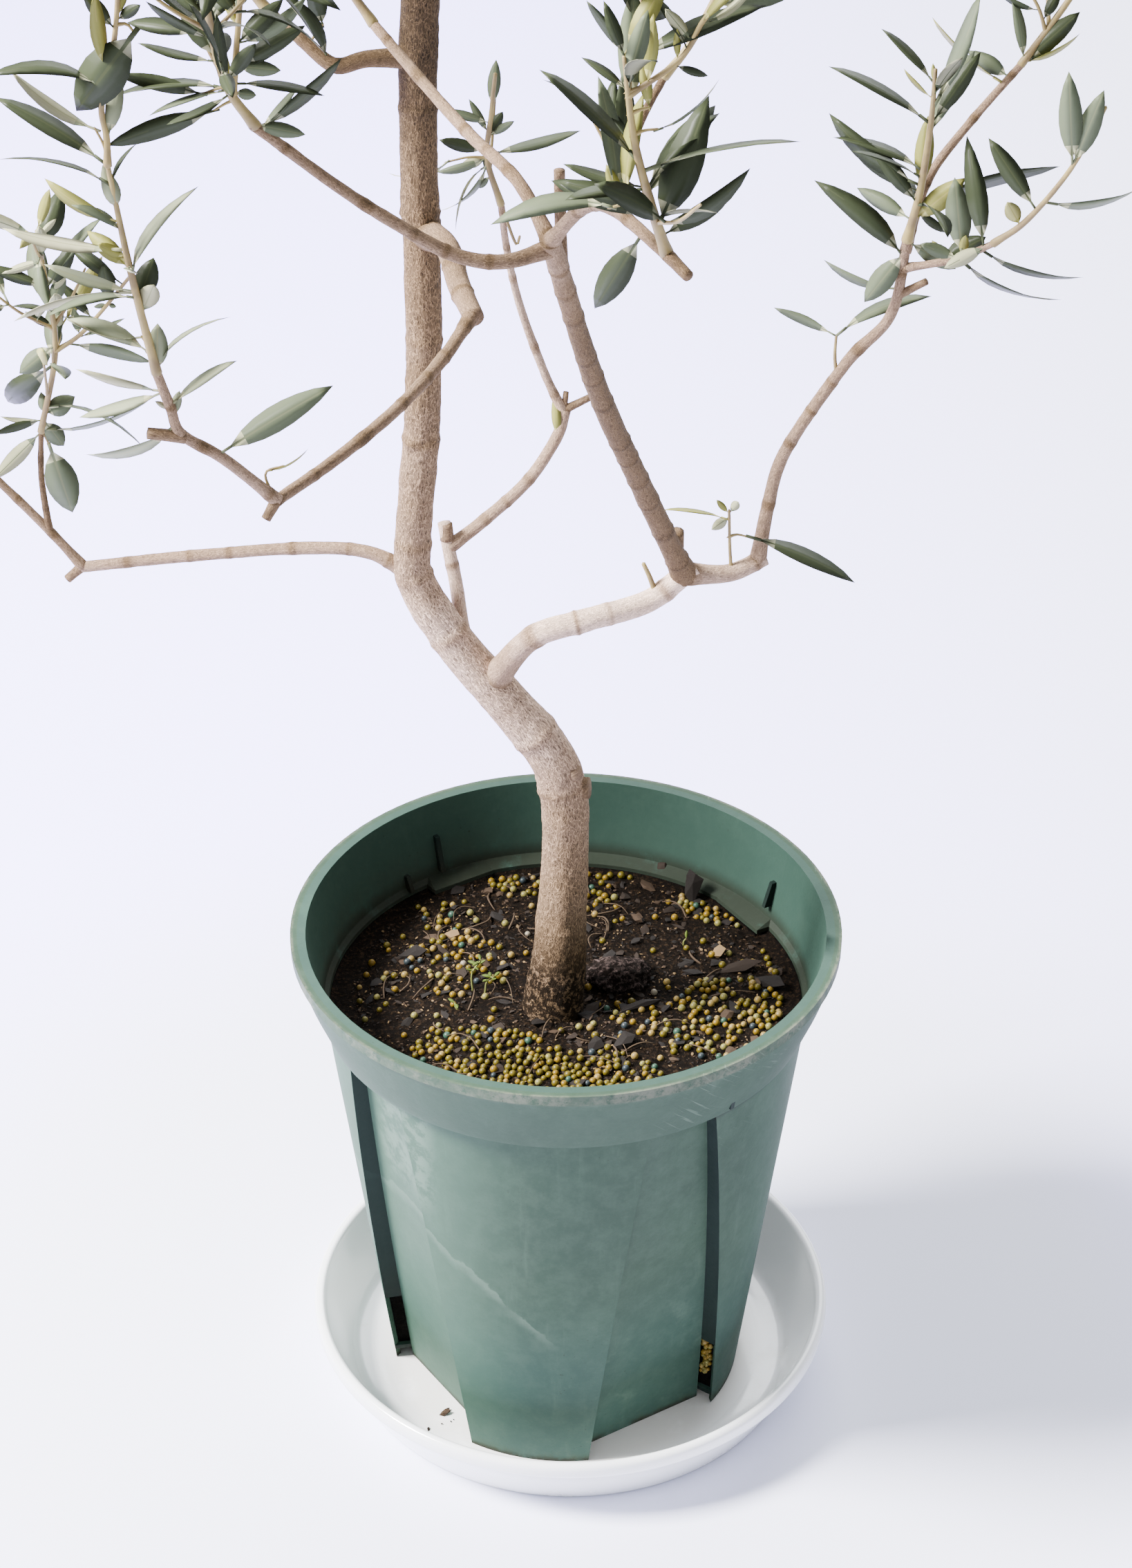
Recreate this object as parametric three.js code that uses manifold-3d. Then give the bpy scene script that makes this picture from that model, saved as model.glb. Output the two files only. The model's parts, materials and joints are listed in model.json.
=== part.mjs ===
// A young olive tree in a green slit-sided nursery pot that stands in a white saucer.
// Millimetres, +Z up. The origin lies on the floor under the middle of the pot. The pot's own
// front is turned a little to the left of -Y. Bearings run anticlockwise from +X, rises are
// measured up from level, both in degrees.
import * as THREE from "three";
import { mergeVertices } from "three/addons/utils/BufferGeometryUtils.js";
import Module from "manifold-3d";

const wasm = await Module();
wasm.setup();

// Clearances
const GAP = 0.3; // between pieces that touch
const LEAF_CLEARANCE = 0.8; // from a leaf or twig to a bough
const WELD = 1e-3; // corners closer than this are one corner
const NEARLY_UPRIGHT = 0.9; // the rise of a unit direction from which +X is its reference
const NEARLY_PARALLEL = 1e-9; // runs that spread less than this lie side by side

// Saucer
const SAUCER_LIP_RADIUS = 149;
const SAUCER_INNER_RADIUS = 142.6;
const SAUCER_HEIGHT = 42;
const SAUCER_LIP_HEIGHT = 9;
const SAUCER_BASE_RADIUS = 130;
const SAUCER_WALL = 3;
const SAUCER_EDGE = 2; // how far the corner of the base is eased
const SAUCER_LIP_STEP = 4; // how far the lip stands proud, and the height of its round top
const SAUCER_LIP_EASE = 1.2;
const SAUCER_SIDES = 32;
const SAUCER_SHIFT = 2.6; // the pot doesn't stand quite in the middle

// Pot
const POT_TURN = -12; // degrees from -Y towards -X that the pot's front is turned
const RIM_RADIUS = 150;
const RIM_TOP = 302;
const RIM_HEIGHT = 6;
const RIM_INNER_RADIUS = 141.6;
const BAND_TOP_RADIUS = 149;
const BAND_BOTTOM_RADIUS = 134.5;
const BAND_INNER_RADIUS = 132.9;
const BAND_BOTTOM = 256;
const FOOT = SAUCER_WALL + GAP;
const POT_WALL = 2.6;
const WALL_MIDDLE = 130;
const FLOOR_UNDERSIDE = 10;
const FLOOR_TOP = 13;
// Radii of the wall just under the band and at the foot, and the angles from the pot's front
// at which the front panel, the flat panel and the side sector meet there.
const FRONT_PANEL = { top: 127.5, foot: 104 };
const SIDE_SECTOR = { top: 133, foot: 100.5 };
const FLAT_PANEL = { top: 124.5, foot: 83, faces: 44 };
const CREASE = { top: 33, foot: 19 };
const GROOVE = { top: 48.5, foot: 68 };
const FRONT_FACETS = 3; // flats that make up half the front panel
const SIDE_FACETS = 4; // flats that make up half a side sector
const LEAST_STEP = 0.2; // how far the front panel stands proud at the top of its crease
const LEVEL_STEP = 0.01; // the rise of a step in the wall that is level to the eye
const SLIT = { height: 44, width: 9, depth: 30, radius: 90, lean: 8.5 };

// Soil
const SOIL_EDGE = 254;
const SOIL_TOP = 259;
const SOIL_PLATEAU_RADIUS = 60;

// Trunk: each leg is [bearing, rise, length, radius at its end]
const TRUNK_CUT = SOIL_TOP + GAP; // the level of the flat cut under the trunk
const TRUNK_SUNK = 6; // how far below the cut the trunk is begun, so that the cut is flat
const TRUNK_FOOT = new THREE.Vector3(-6, -14, TRUNK_CUT - TRUNK_SUNK);
const GROUND_BLOCK = 100; // the side of the block that cuts the trunk
const TRUNK_FOOT_RADIUS = 21;
const TRUNK_LEGS = [
  [40, 84, 16, 16.2],
  [30, 85, 34, 13.8],
  [0, 87, 52, 12.3],
  [180, 88, 44, 12.4],
  [174, 70, 28, 12],
  [175, 53, 72, 10.6],
  [172, 60, 43, 9.5],
  [147, 86, 26, 9.1],
  [28, 84, 59, 8.8],
  [42, 87, 61, 8.8],
  [101, 88, 93, 9],
  [52, 87, 68, 9.1],
  [13, 84, 124, 8],
  [-27, 82, 126, 6.4],
  [45, 86, 115, 4.8],
  [27, 85, 110, 2.8],
];
const TRUNK_SIDES = 11;
const FOOT_SWELLING = 1.25; // how much thicker a bough is right at its foot
const BOUGH_SIDES = 5;
const STEM_SIDES = 4;
const STEPS_PER_LEG = 2;
const STEM_STEPS_PER_LEG = 1;

// Boughs: what each grows from, how far along it, its foot and tip radii and its legs
const BOUGHS = [
  ["bough_right", "trunk", 229, 6.2, 5.6, [[-36, 44, 47], [0, 21, 30], [18, 9, 33], [15, 36, 29]]],
  ["bough_right_front", "bough_right", 137, 5.6, 4.4, [
    [-114, 50, 80], [-109, 51, 108], [-106, 52, 68], [-103, 52, 109],
  ]],
  ["bough_right_low", "bough_right", 137, 4.6, 4.2, [[11, -13, 21], [18, 17, 20]]],
  ["bough_right_rise", "bough_right_low", 40, 3.6, 2.4, [
    [10, 87, 30], [0, 76, 33], [-8, 61, 58], [-11, 54, 35], [-36, 81, 43],
  ]],
  ["bough_right_side", "bough_right_rise", 184, 2, 1.5, [[-25, 18, 28], [-31, 34, 24]]],
  ["bough_right_top", "bough_right_rise", 193, 2.4, 1.8, [
    [42, 68, 34], [20, 53, 30], [24, 44, 41],
  ]],
  ["bough_left", "trunk", 299, 3.6, 2.8, [
    [171, 15, 23], [167, -3, 35], [172, -9, 61], [172, -11, 59],
  ]],
  ["bough_left_rise", "bough_left", 179, 2.6, 1.8, [[167, 51, 26], [166, 45, 35], [169, 45, 29]]],
  ["bough_left_shoot", "bough_left_rise", 27, 1.7, 1.4, [[176, 89, 30], [-38, 84, 29]]],
  ["bough_back_foot", "trunk", 250, 3.6, 3.4, [[89, 48, 28], [120, 68, 18], [127, 74, 18]]],
  ["bough_back", "bough_back_foot", 53, 3.2, 3, [
    [25, 21, 20], [19, 38, 32], [15, 56, 28], [25, 72, 16],
  ]],
  ["bough_back_rise", "bough_back", 96, 2.4, 1.6, [
    [170, 62, 22], [180, 72, 39], [-147, 77, 34], [-124, 80, 29],
  ]],
  ["bough_knee", "trunk", 489, 6.2, 5, [[-60, -10, 27], [-74, -24, 23], [-73, -11, 27]]],
  ["bough_knee_front", "bough_knee", 78, 3.2, 2.6, [
    [-112, -6, 38], [-114, -3, 49], [-118, 0, 52], [-118, 4, 50],
  ]],
  ["bough_knee_left", "bough_knee_front", 190, 2.6, 2, [
    [-155, 49, 34], [-163, 40, 23], [-153, 73, 15], [-157, 74, 19],
  ]],
  ["bough_left_high", "trunk", 577, 4.2, 3, [
    [-159, -9, 26], [-166, -5, 16], [154, 31, 22], [147, 21, 16],
  ]],
  ["bough_front_left", "bough_right_front", 360, 3.4, 2.2, [
    [-159, -11, 22], [-177, 11, 21], [-173, 33, 28], [-171, 38, 31], [-162, 43, 45],
  ]],
  ["bough_front_mid", "bough_right_front", 366, 3, 2.2, [
    [119, 28, 32], [119, 6, 46], [120, 12, 50], [123, 17, 35],
  ]],
  ["bough_front_right", "bough_right_front", 366, 3, 2.4, [
    [-63, 41, 40], [-70, 22, 39], [-62, -2, 44],
  ]],
  ["bough_front_right_rise", "bough_front_right", 78, 2, 1.5, [
    [-66, 72, 21], [0, 70, 23], [12, 62, 20],
  ]],
  ["bough_high_right", "trunk", 655, 4.6, 2.4, [[12, 32, 80], [20, 44, 90], [14, 54, 60]]],
  ["bough_high_back", "trunk", 640, 4.6, 2.4, [[95, 28, 80], [84, 38, 90], [92, 50, 55]]],
  ["bough_high_back_left", "trunk", 705, 4.4, 2.4, [[148, 32, 80], [160, 44, 80], [150, 54, 50]]],
  ["bough_high_front", "trunk", 755, 4.2, 2.2, [[-72, 34, 75], [-86, 44, 75], [-78, 54, 45]]],
  ["bough_high_left", "trunk", 795, 4, 2.2, [[196, 36, 75], [188, 46, 75], [194, 56, 45]]],
  ["bough_high_back_right", "trunk", 815, 4, 2.2, [[48, 36, 75], [58, 46, 75], [50, 56, 45]]],
  ["bough_top_right", "trunk", 885, 3.4, 2, [[-14, 36, 62], [-6, 46, 62]]],
  ["bough_top_left", "trunk", 930, 3, 1.9, [[166, 36, 58], [174, 46, 56]]],
  ["bough_top_front", "trunk", 960, 2.8, 1.8, [[-112, 38, 50], [-104, 48, 50]]],
  ["bough_top_back", "trunk", 990, 2.6, 1.8, [[82, 38, 48], [90, 48, 48]]],
];

// Foliage: what each mass grows from, the reach of its space round the stem, its seed, and
// the legs of the stem, which starts at the tip of the bough
const FOLIAGE = [
  ["foliage_tip", "trunk", 74, 33, [[27, 84, 30], [120, 82, 36], [60, 84, 34]]],
  ["foliage_left_low", "bough_left_shoot", 50, 11, [[-19, 76, 50], [-126, 86, 40], [-130, 84, 27]]],
  ["foliage_left_far", "bough_left_rise", 80, 12, [[162, 52, 44], [146, 67, 45], [110, 76, 50]]],
  ["foliage_front_left", "bough_front_left", 68, 14, [
    [-150, 60, 24], [-110, 70, 36], [-90, 76, 34],
  ]],
  ["foliage_knee_left", "bough_knee_left", 56, 13, [[-129, 78, 50], [-126, 80, 52]]],
  ["foliage_left_high", "bough_left_high", 82, 15, [[166, 53, 26], [170, 68, 31], [176, 72, 30]]],
  ["foliage_front_mid", "bough_front_mid", 78, 16, [[158, 55, 24], [149, 72, 31], [140, 76, 30]]],
  ["foliage_back", "bough_back_rise", 46, 17, [[-166, 75, 26], [-41, 83, 24], [-42, 82, 22]]],
  ["foliage_front_right", "bough_front_right", 66, 18, [
    [-121, 63, 27], [-135, 72, 33], [-126, 79, 36],
  ]],
  ["foliage_front_right_rise", "bough_front_right_rise", 70, 19, [
    [9, 53, 19], [27, 60, 30], [30, 66, 30],
  ]],
  ["foliage_right", "bough_right_rise", 62, 20, [[-26, 79, 27], [-35, 84, 34], [-77, 85, 30]]],
  ["foliage_right_side", "bough_right_side", 60, 21, [[-23, 44, 22], [-19, 57, 34], [-25, 67, 36]]],
  ["foliage_right_top", "bough_right_top", 78, 22, [[17, 53, 34], [18, 57, 35], [14, 66, 40]]],
  ["foliage_high_right", "bough_high_right", 98, 23, [[18, 52, 50], [8, 62, 60]]],
  ["foliage_high_back", "bough_high_back", 98, 24, [[86, 50, 50], [98, 60, 60]]],
  ["foliage_high_back_left", "bough_high_back_left", 96, 25, [[156, 54, 50], [146, 64, 56]]],
  ["foliage_high_front", "bough_high_front", 94, 26, [[-84, 54, 48], [-74, 64, 54]]],
  ["foliage_high_left", "bough_high_left", 94, 27, [[190, 56, 46], [200, 66, 52]]],
  ["foliage_high_back_right", "bough_high_back_right", 94, 28, [[54, 56, 46], [44, 66, 52]]],
  ["foliage_top_right", "bough_top_right", 84, 29, [[-10, 52, 40], [2, 62, 46]]],
  ["foliage_top_left", "bough_top_left", 80, 30, [[170, 50, 38], [182, 62, 42]]],
  ["foliage_top_front", "bough_top_front", 76, 31, [[-108, 50, 36], [-96, 62, 40]]],
  ["foliage_top_back", "bough_top_back", 76, 32, [[86, 50, 36], [96, 62, 40]]],
];

// Habit of the twigs and leaves
const STEM_FOOT_RADIUS = 2.4; // the least, where the bough's own tip is thinner
const STEM_TIP_RADIUS = 1.8;
const TWIG_RADIUS = 1.1;
const TWIG_TIP_RADIUS = 1.1;
const TWIG_START = 7; // the first stretch of a twig, which may touch its own stem
const KNOT_SPACING = 36;
const LEAST_KNOTS = 2;
const KNOT_OFFSET = 0.6; // where the first knot sits, as a share of the spacing
const QUARTER_TURN_PLAY = 0.9; // radians of play in the turn from one pair to the next
const TWIG_SPREAD = { middle: 50, play: 22 }; // degrees from the stem
const TWIG_LENGTH = { least: 0.55, play: 0.4 }; // shares of the room beside the stem
const TWIG_LIFT = 0.25; // how far a twig turns up to the light
const TWIG_TRIES = [1, 0.7, 0.45]; // shares of its length at which a twig is tried
const TWIG_LEAST = 8;
const LEAF_TRIES = [1, 0.8, 0.6];
const LEAF_SPREAD = 42; // degrees from the twig
const LEAF_LENGTH = { share: 0.86, least: 46, most: 84 }; // share of the reach
const LEAF_PLAY = { least: 0.84, play: 0.3 };
const LEAF_WIDTH_SHARE = 0.33;
const LEAF_KEEP_SHARE = 0.6; // how much of a leaf's half width has to keep clear
const LEAF_THICKNESS = 1.8;
const SKY = new THREE.Vector3(0.2, -0.3, 1); // where the upper sides of the leaves look
const LEAVES_APART = 4.6; // between the middles of two leaves
const LEAF_START = 8; // the first stretch of a leaf, which may touch its own twig
// Where leaves sit beside the one at the end of a twig: the share of the twig's length, the
// distance back from there and the turn round it. The two of a pair sit a little apart.
const LEAF_SEATS = [
  { share: 0.8, back: 0, turn: 0 },
  { share: 0.8, back: 2.4, turn: Math.PI },
];
const STREAM_STEP = 7919; // spreads the seeds apart
const LEAF_STREAM = 500; // keeps the stream of the leaves apart from that of the twigs
const STEM_ROOT = 2; // how far back inside the tip of its bough a stem starts

const materials = {
  glazed: new THREE.MeshStandardMaterial({ color: 0xf2f3f7, roughness: 0.18, metalness: 0 }),
  plastic: new THREE.MeshStandardMaterial({ color: 0x6f8c84, roughness: 0.62, metalness: 0 }),
  soil: new THREE.MeshStandardMaterial({ color: 0x3a2a1e, roughness: 0.95, metalness: 0 }),
  bark: new THREE.MeshStandardMaterial({ color: 0xa89684, roughness: 0.85, metalness: 0 }),
  leaf: new THREE.MeshStandardMaterial({ color: 0x6c7f68, roughness: 0.55, metalness: 0 }),
};

// The direction of a bearing and a rise.
function heading(bearing, rise) {
  const turn = THREE.MathUtils.degToRad(bearing);
  const lift = THREE.MathUtils.degToRad(rise);
  return new THREE.Vector3(
    Math.cos(lift) * Math.cos(turn),
    Math.cos(lift) * Math.sin(turn),
    Math.sin(lift),
  );
}

// A smooth run of points through the ends of the legs.
function routeOf(start, legs, steps) {
  const corners = [start.clone()];
  for (const [bearing, rise, length] of legs) {
    corners.push(corners.at(-1).clone().addScaledVector(heading(bearing, rise), length));
  }
  const curve = new THREE.CatmullRomCurve3(corners, false, "catmullrom", 0.5);
  return curve.getPoints(legs.length * steps);
}

function lengthOf(route) {
  return route.slice(1).reduce((sum, point, i) => sum + point.distanceTo(route[i]), 0);
}

// The point and the direction at a distance along a route.
function placeAt(route, distance) {
  let left = distance;
  for (let i = 1; i < route.length; i += 1) {
    const run = route[i].distanceTo(route[i - 1]);
    if (left <= run || i === route.length - 1) {
      const along = new THREE.Vector3().subVectors(route[i], route[i - 1]).divideScalar(run);
      const reach = Math.min(left, run);
      return { point: route[i - 1].clone().addScaledVector(along, reach), along };
    }
    left -= run;
  }
  throw new Error("a route needs two points");
}

// A direction square to another one, turned round it by an angle from the upper side.
function squareTo(along, turn) {
  const isUpright = Math.abs(along.z) > NEARLY_UPRIGHT;
  const reference = isUpright ? new THREE.Vector3(1, 0, 0) : new THREE.Vector3(0, 0, 1);
  const side = new THREE.Vector3().crossVectors(along, reference).normalize();
  return side.applyAxisAngle(along, turn);
}

// A limb: a closed cylinder whose rings are moved onto the route, one radius for each point.
function limbGeometry(route, radii, sides) {
  const last = route.length - 1;
  const frames = [];
  let side = squareTo(placeAt(route, 0).along, 0);
  for (let i = 0; i <= last; i += 1) {
    const along = new THREE.Vector3()
      .subVectors(route[Math.min(i + 1, last)], route[Math.max(i - 1, 0)])
      .normalize();
    side = side.clone().addScaledVector(along, -side.dot(along)).normalize();
    frames.push({ side, lift: new THREE.Vector3().crossVectors(side, along) });
  }
  const geometry = new THREE.CylinderGeometry(1, 1, 1, sides, last);
  const position = geometry.getAttribute("position");
  for (let v = 0; v < position.count; v += 1) {
    const ring = Math.round((position.getY(v) + 0.5) * last);
    const moved = route[ring]
      .clone()
      .addScaledVector(frames[ring].side, position.getX(v) * radii[ring])
      .addScaledVector(frames[ring].lift, position.getZ(v) * radii[ring]);
    position.setXYZ(v, moved.x, moved.y, moved.z);
  }
  return geometry;
}

// The closed solid of a geometry, with shared corners merged and empty faces dropped.
function solidOf(geometry) {
  const shell = geometry.clone();
  shell.deleteAttribute("normal");
  shell.deleteAttribute("uv");
  const merged = mergeVertices(shell, WELD);
  const corners = merged.index.array;
  const kept = [];
  for (let i = 0; i < corners.length; i += 3) {
    const [a, b, c] = [corners[i], corners[i + 1], corners[i + 2]];
    if (a !== b && b !== c && c !== a) {
      kept.push(a, b, c);
    }
  }
  return new wasm.Manifold(
    new wasm.Mesh({
      numProp: 3,
      vertProperties: Float32Array.from(merged.getAttribute("position").array),
      triVerts: Uint32Array.from(kept),
    }),
  );
}

// The largest body of a solid, without loose scraps and with sealed hollows filled.
function largestOf(solid) {
  return solid.decompose().reduce((best, body) => (body.volume() > best.volume() ? body : best));
}

function geometryOf(solid) {
  const shape = solid.getMesh();
  const geometry = new THREE.BufferGeometry();
  const corners = Float32Array.from(shape.vertProperties);
  geometry.setAttribute("position", new THREE.BufferAttribute(corners, 3));
  geometry.setIndex(new THREE.BufferAttribute(Uint32Array.from(shape.triVerts), 1));
  return geometry;
}

function meshOf(name, solid, material) {
  const welded = largestOf(solidOf(geometryOf(largestOf(solid))));
  const geometry = geometryOf(welded);
  geometry.computeVertexNormals();
  const mesh = new THREE.Mesh(geometry, material);
  mesh.name = name;
  return mesh;
}

// Saucer: one turned profile from the middle of the underside round the lip to the inside.
function saucerGeometry() {
  const lipBottom = SAUCER_HEIGHT - SAUCER_LIP_HEIGHT;
  const lipMiddle = (SAUCER_LIP_RADIUS + SAUCER_INNER_RADIUS) / 2;
  const profile = [
    [0, 0],
    [SAUCER_BASE_RADIUS - SAUCER_EDGE, 0],
    [SAUCER_BASE_RADIUS + SAUCER_EDGE / 2, SAUCER_EDGE],
    [SAUCER_LIP_RADIUS - SAUCER_LIP_STEP, lipBottom - SAUCER_LIP_EASE],
    [SAUCER_LIP_RADIUS - SAUCER_LIP_EASE, lipBottom],
    [SAUCER_LIP_RADIUS, SAUCER_HEIGHT - SAUCER_LIP_STEP],
    [lipMiddle + SAUCER_LIP_EASE, SAUCER_HEIGHT],
    [lipMiddle - SAUCER_LIP_EASE, SAUCER_HEIGHT],
    [SAUCER_INNER_RADIUS, SAUCER_HEIGHT - SAUCER_LIP_STEP],
    [SAUCER_BASE_RADIUS - SAUCER_EDGE / 2, SAUCER_WALL + SAUCER_EDGE * 2],
    [SAUCER_BASE_RADIUS - SAUCER_EDGE * 2, SAUCER_WALL],
    [0, SAUCER_WALL],
  ];
  const outline = profile.map(([radius, height]) => new THREE.Vector2(radius, height));
  const turned = new THREE.LatheGeometry(outline, SAUCER_SIDES);
  return turned.rotateX(Math.PI / 2).translate(SAUCER_SHIFT, 0, 0);
}

// Pot wall: the share of the way down from the band to the foot, and a size at that height.
function sizeAt(size, z) {
  return THREE.MathUtils.lerp(size.top, size.foot, (BAND_BOTTOM - z) / (BAND_BOTTOM - FOOT));
}

// One quarter of the wall at a height, from the front or back towards the side, moved in by an
// inset: angle and radius. The steps at the crease and the groove have two radii at one angle.
function quarterOf(z, inset) {
  const front = sizeAt(FRONT_PANEL, z);
  const sector = sizeAt(SIDE_SECTOR, z);
  const crease = sizeAt(CREASE, z) - THREE.MathUtils.radToDeg(inset / front);
  const groove = sizeAt(GROOVE, z) + THREE.MathUtils.radToDeg(inset / sector);
  const flat = (angle) =>
    sizeAt(FLAT_PANEL, z) / Math.cos(THREE.MathUtils.degToRad(FLAT_PANEL.faces - angle));
  const places = [];
  for (let i = 0; i <= FRONT_FACETS; i += 1) {
    places.push([(crease * i) / FRONT_FACETS, front]);
  }
  places.push([crease, Math.min(flat(crease), front - LEAST_STEP)]);
  places.push([(crease + groove) / 2, flat((crease + groove) / 2)]);
  places.push([groove, flat(groove)]);
  for (let i = 0; i <= SIDE_FACETS; i += 1) {
    places.push([groove + ((90 - groove) * i) / SIDE_FACETS, sector]);
  }
  return places.map(([angle, radius]) => [angle, radius - inset]);
}

// One ring of the pot: a level, and either a round radius or the wall's own plan moved in.
function ringOf({ z, round, inset = 0 }) {
  const quarter = quarterOf(Math.min(z, BAND_BOTTOM), inset);
  const back = quarter.slice(0, -1).reverse().map(([angle, radius]) => [180 - angle, radius]);
  const half = [...quarter, ...back];
  const other = half.slice(1, -1).reverse().map(([angle, radius]) => [360 - angle, radius]);
  return [...half, ...other].map(([angle, radius]) => {
    const turn = THREE.MathUtils.degToRad(angle + POT_TURN);
    const reach = round ?? radius;
    return new THREE.Vector3(reach * Math.sin(turn), -reach * Math.cos(turn), z);
  });
}

// A closed shell through rings of equal count, with a flat fan over the first and last ring.
// Each strip is split along the same slant going up as coming down, so that walls stay even.
function shellOf(rings) {
  const points = rings.flatMap(ringOf);
  const count = points.length / rings.length;
  const faces = [];
  for (let row = 0; row + 1 < rings.length; row += 1) {
    for (let i = 0; i < count; i += 1) {
      const next = (i + 1) % count;
      const [a, b] = [row * count + i, row * count + next];
      if (rings[row].z <= rings[row + 1].z) {
        faces.push(a, b, b + count, a, b + count, a + count);
      } else {
        faces.push(a, b, a + count, b, b + count, a + count);
      }
    }
  }
  const foot = points.push(new THREE.Vector3(0, 0, rings[0].z)) - 1;
  const head = points.push(new THREE.Vector3(0, 0, rings.at(-1).z)) - 1;
  const lastRow = (rings.length - 1) * count;
  for (let i = 0; i < count; i += 1) {
    const next = (i + 1) % count;
    faces.push(foot, next, i, head, lastRow + i, lastRow + next);
  }
  return new THREE.BufferGeometry().setFromPoints(points).setIndex(faces);
}

// Pot: outside up from the foot over the rim, then down the inside to the floor.
function potSolid() {
  const shell = solidOf(
    shellOf([
      { z: FLOOR_UNDERSIDE, inset: POT_WALL },
      { z: FOOT, inset: POT_WALL },
      { z: FOOT },
      { z: WALL_MIDDLE },
      { z: BAND_BOTTOM },
      { z: BAND_BOTTOM + LEVEL_STEP, round: BAND_BOTTOM_RADIUS },
      { z: RIM_TOP - RIM_HEIGHT, round: BAND_TOP_RADIUS },
      { z: RIM_TOP - RIM_HEIGHT + LEVEL_STEP, round: RIM_RADIUS },
      { z: RIM_TOP, round: RIM_RADIUS },
      { z: RIM_TOP + LEVEL_STEP, round: RIM_INNER_RADIUS },
      { z: BAND_BOTTOM + POT_WALL, round: BAND_INNER_RADIUS },
      { z: BAND_BOTTOM, inset: POT_WALL },
      { z: WALL_MIDDLE, inset: POT_WALL },
      { z: FLOOR_TOP, inset: POT_WALL },
    ]),
  );
  const slits = [0, 180].flatMap((middle) => [-1, 1].map((side) => slitSolid(middle, side)));
  return largestOf(shell.subtract(wasm.Manifold.union(slits)));
}

// Slit: an upright opening through the flat panel, beside the foot of the groove that lies to
// one side of the front or back panel, and leaning as the groove does.
function slitSolid(middle, side) {
  const block = new THREE.BoxGeometry(SLIT.width, SLIT.depth, SLIT.height * 2);
  block.translate((-side * SLIT.width) / 2, 0, 0);
  block.rotateY(THREE.MathUtils.degToRad(-side * SLIT.lean));
  block.translate(0, -SLIT.radius, FOOT);
  block.rotateZ(THREE.MathUtils.degToRad(middle + side * GROOVE.foot + POT_TURN));
  return solidOf(block);
}

// Soil: fills the pot to just under the band, and rises a little round the trunk.
function soilSolid() {
  const inset = POT_WALL + GAP;
  return solidOf(
    shellOf([
      { z: FLOOR_TOP + GAP, inset },
      { z: WALL_MIDDLE, inset },
      { z: SOIL_EDGE, inset },
      { z: SOIL_TOP, round: SOIL_PLATEAU_RADIUS },
    ]),
  );
}

// Limbs by name: the route, the radius at each point, and the solid with and without a gap.
const limbs = new Map();

function addLimb(name, route, radii, sides, ground = null) {
  let body = solidOf(limbGeometry(route, radii, sides));
  if (ground) {
    body = body.subtract(ground);
  }
  const swollen = route.map((point) => point.clone());
  swollen[0].addScaledVector(placeAt(route, 0).along, -GAP);
  swollen.at(-1).addScaledVector(placeAt(route, Infinity).along, GAP);
  const cutter = solidOf(limbGeometry(swollen, radii.map((radius) => radius + GAP), sides));
  let cut = body;
  for (const earlier of limbs.values()) {
    cut = cut.subtract(earlier.cutter);
  }
  limbs.set(name, { route, radii, cutter, solid: largestOf(cut) });
}

// Radii of a bough: an even taper from foot to tip, with a short swelling at the foot.
function taperOf(route, footRadius, tipRadius) {
  const last = route.length - 1;
  return route.map((_, i) => {
    const swelling = i === 0 ? FOOT_SWELLING : 1;
    return THREE.MathUtils.lerp(footRadius, tipRadius, i / last) * swelling;
  });
}

function addTrunk() {
  const route = routeOf(TRUNK_FOOT, TRUNK_LEGS, STEPS_PER_LEG);
  const ends = [TRUNK_FOOT_RADIUS, ...TRUNK_LEGS.map((leg) => leg[3])];
  const radii = route.map((_, i) => {
    const leg = Math.min(Math.floor(i / STEPS_PER_LEG), TRUNK_LEGS.length - 1);
    return THREE.MathUtils.lerp(ends[leg], ends[leg + 1], i / STEPS_PER_LEG - leg);
  });
  const ground = new THREE.BoxGeometry(GROUND_BLOCK, GROUND_BLOCK, GROUND_BLOCK);
  ground.translate(0, 0, TRUNK_CUT - GROUND_BLOCK / 2);
  addLimb("trunk", route, radii, TRUNK_SIDES, solidOf(ground));
}

function addBoughs() {
  for (const [name, carrier, distance, footRadius, tipRadius, legs] of BOUGHS) {
    const start = placeAt(limbs.get(carrier).route, distance).point;
    const route = routeOf(start, legs, STEPS_PER_LEG);
    addLimb(name, route, taperOf(route, footRadius, tipRadius), BOUGH_SIDES);
  }
}

// The shortest distance between two straight runs, from a to b and from c to d.
function gapBetween(a, b, c, d) {
  const first = new THREE.Vector3().subVectors(b, a);
  const second = new THREE.Vector3().subVectors(d, c);
  const offset = new THREE.Vector3().subVectors(a, c);
  const [aa, ee, f] = [first.lengthSq(), second.lengthSq(), second.dot(offset)];
  const [dot, toFirst] = [first.dot(second), first.dot(offset)];
  const spread = aa * ee - dot * dot;
  let s = spread > NEARLY_PARALLEL ? THREE.MathUtils.clamp((dot * f - toFirst * ee) / spread, 0, 1) : 0;
  const t = THREE.MathUtils.clamp((dot * s + f) / ee, 0, 1);
  s = THREE.MathUtils.clamp((dot * t - toFirst) / aa, 0, 1);
  return a.clone().addScaledVector(first, s).distanceTo(c.clone().addScaledVector(second, t));
}

// The shortest distance from a point to a route.
function gapToPoint(point, route) {
  const nearest = new THREE.Vector3();
  const gaps = route.slice(1).map((end, i) => {
    new THREE.Line3(route[i], end).closestPointToPoint(point, true, nearest);
    return nearest.distanceTo(point);
  });
  return Math.min(...gaps);
}

// The shortest distance from a straight run to a route.
function gapToRoute(from, to, route) {
  let least = Infinity;
  for (let i = 1; i < route.length; i += 1) {
    least = Math.min(least, gapBetween(from, to, route[i - 1], route[i]));
  }
  return least;
}

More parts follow.
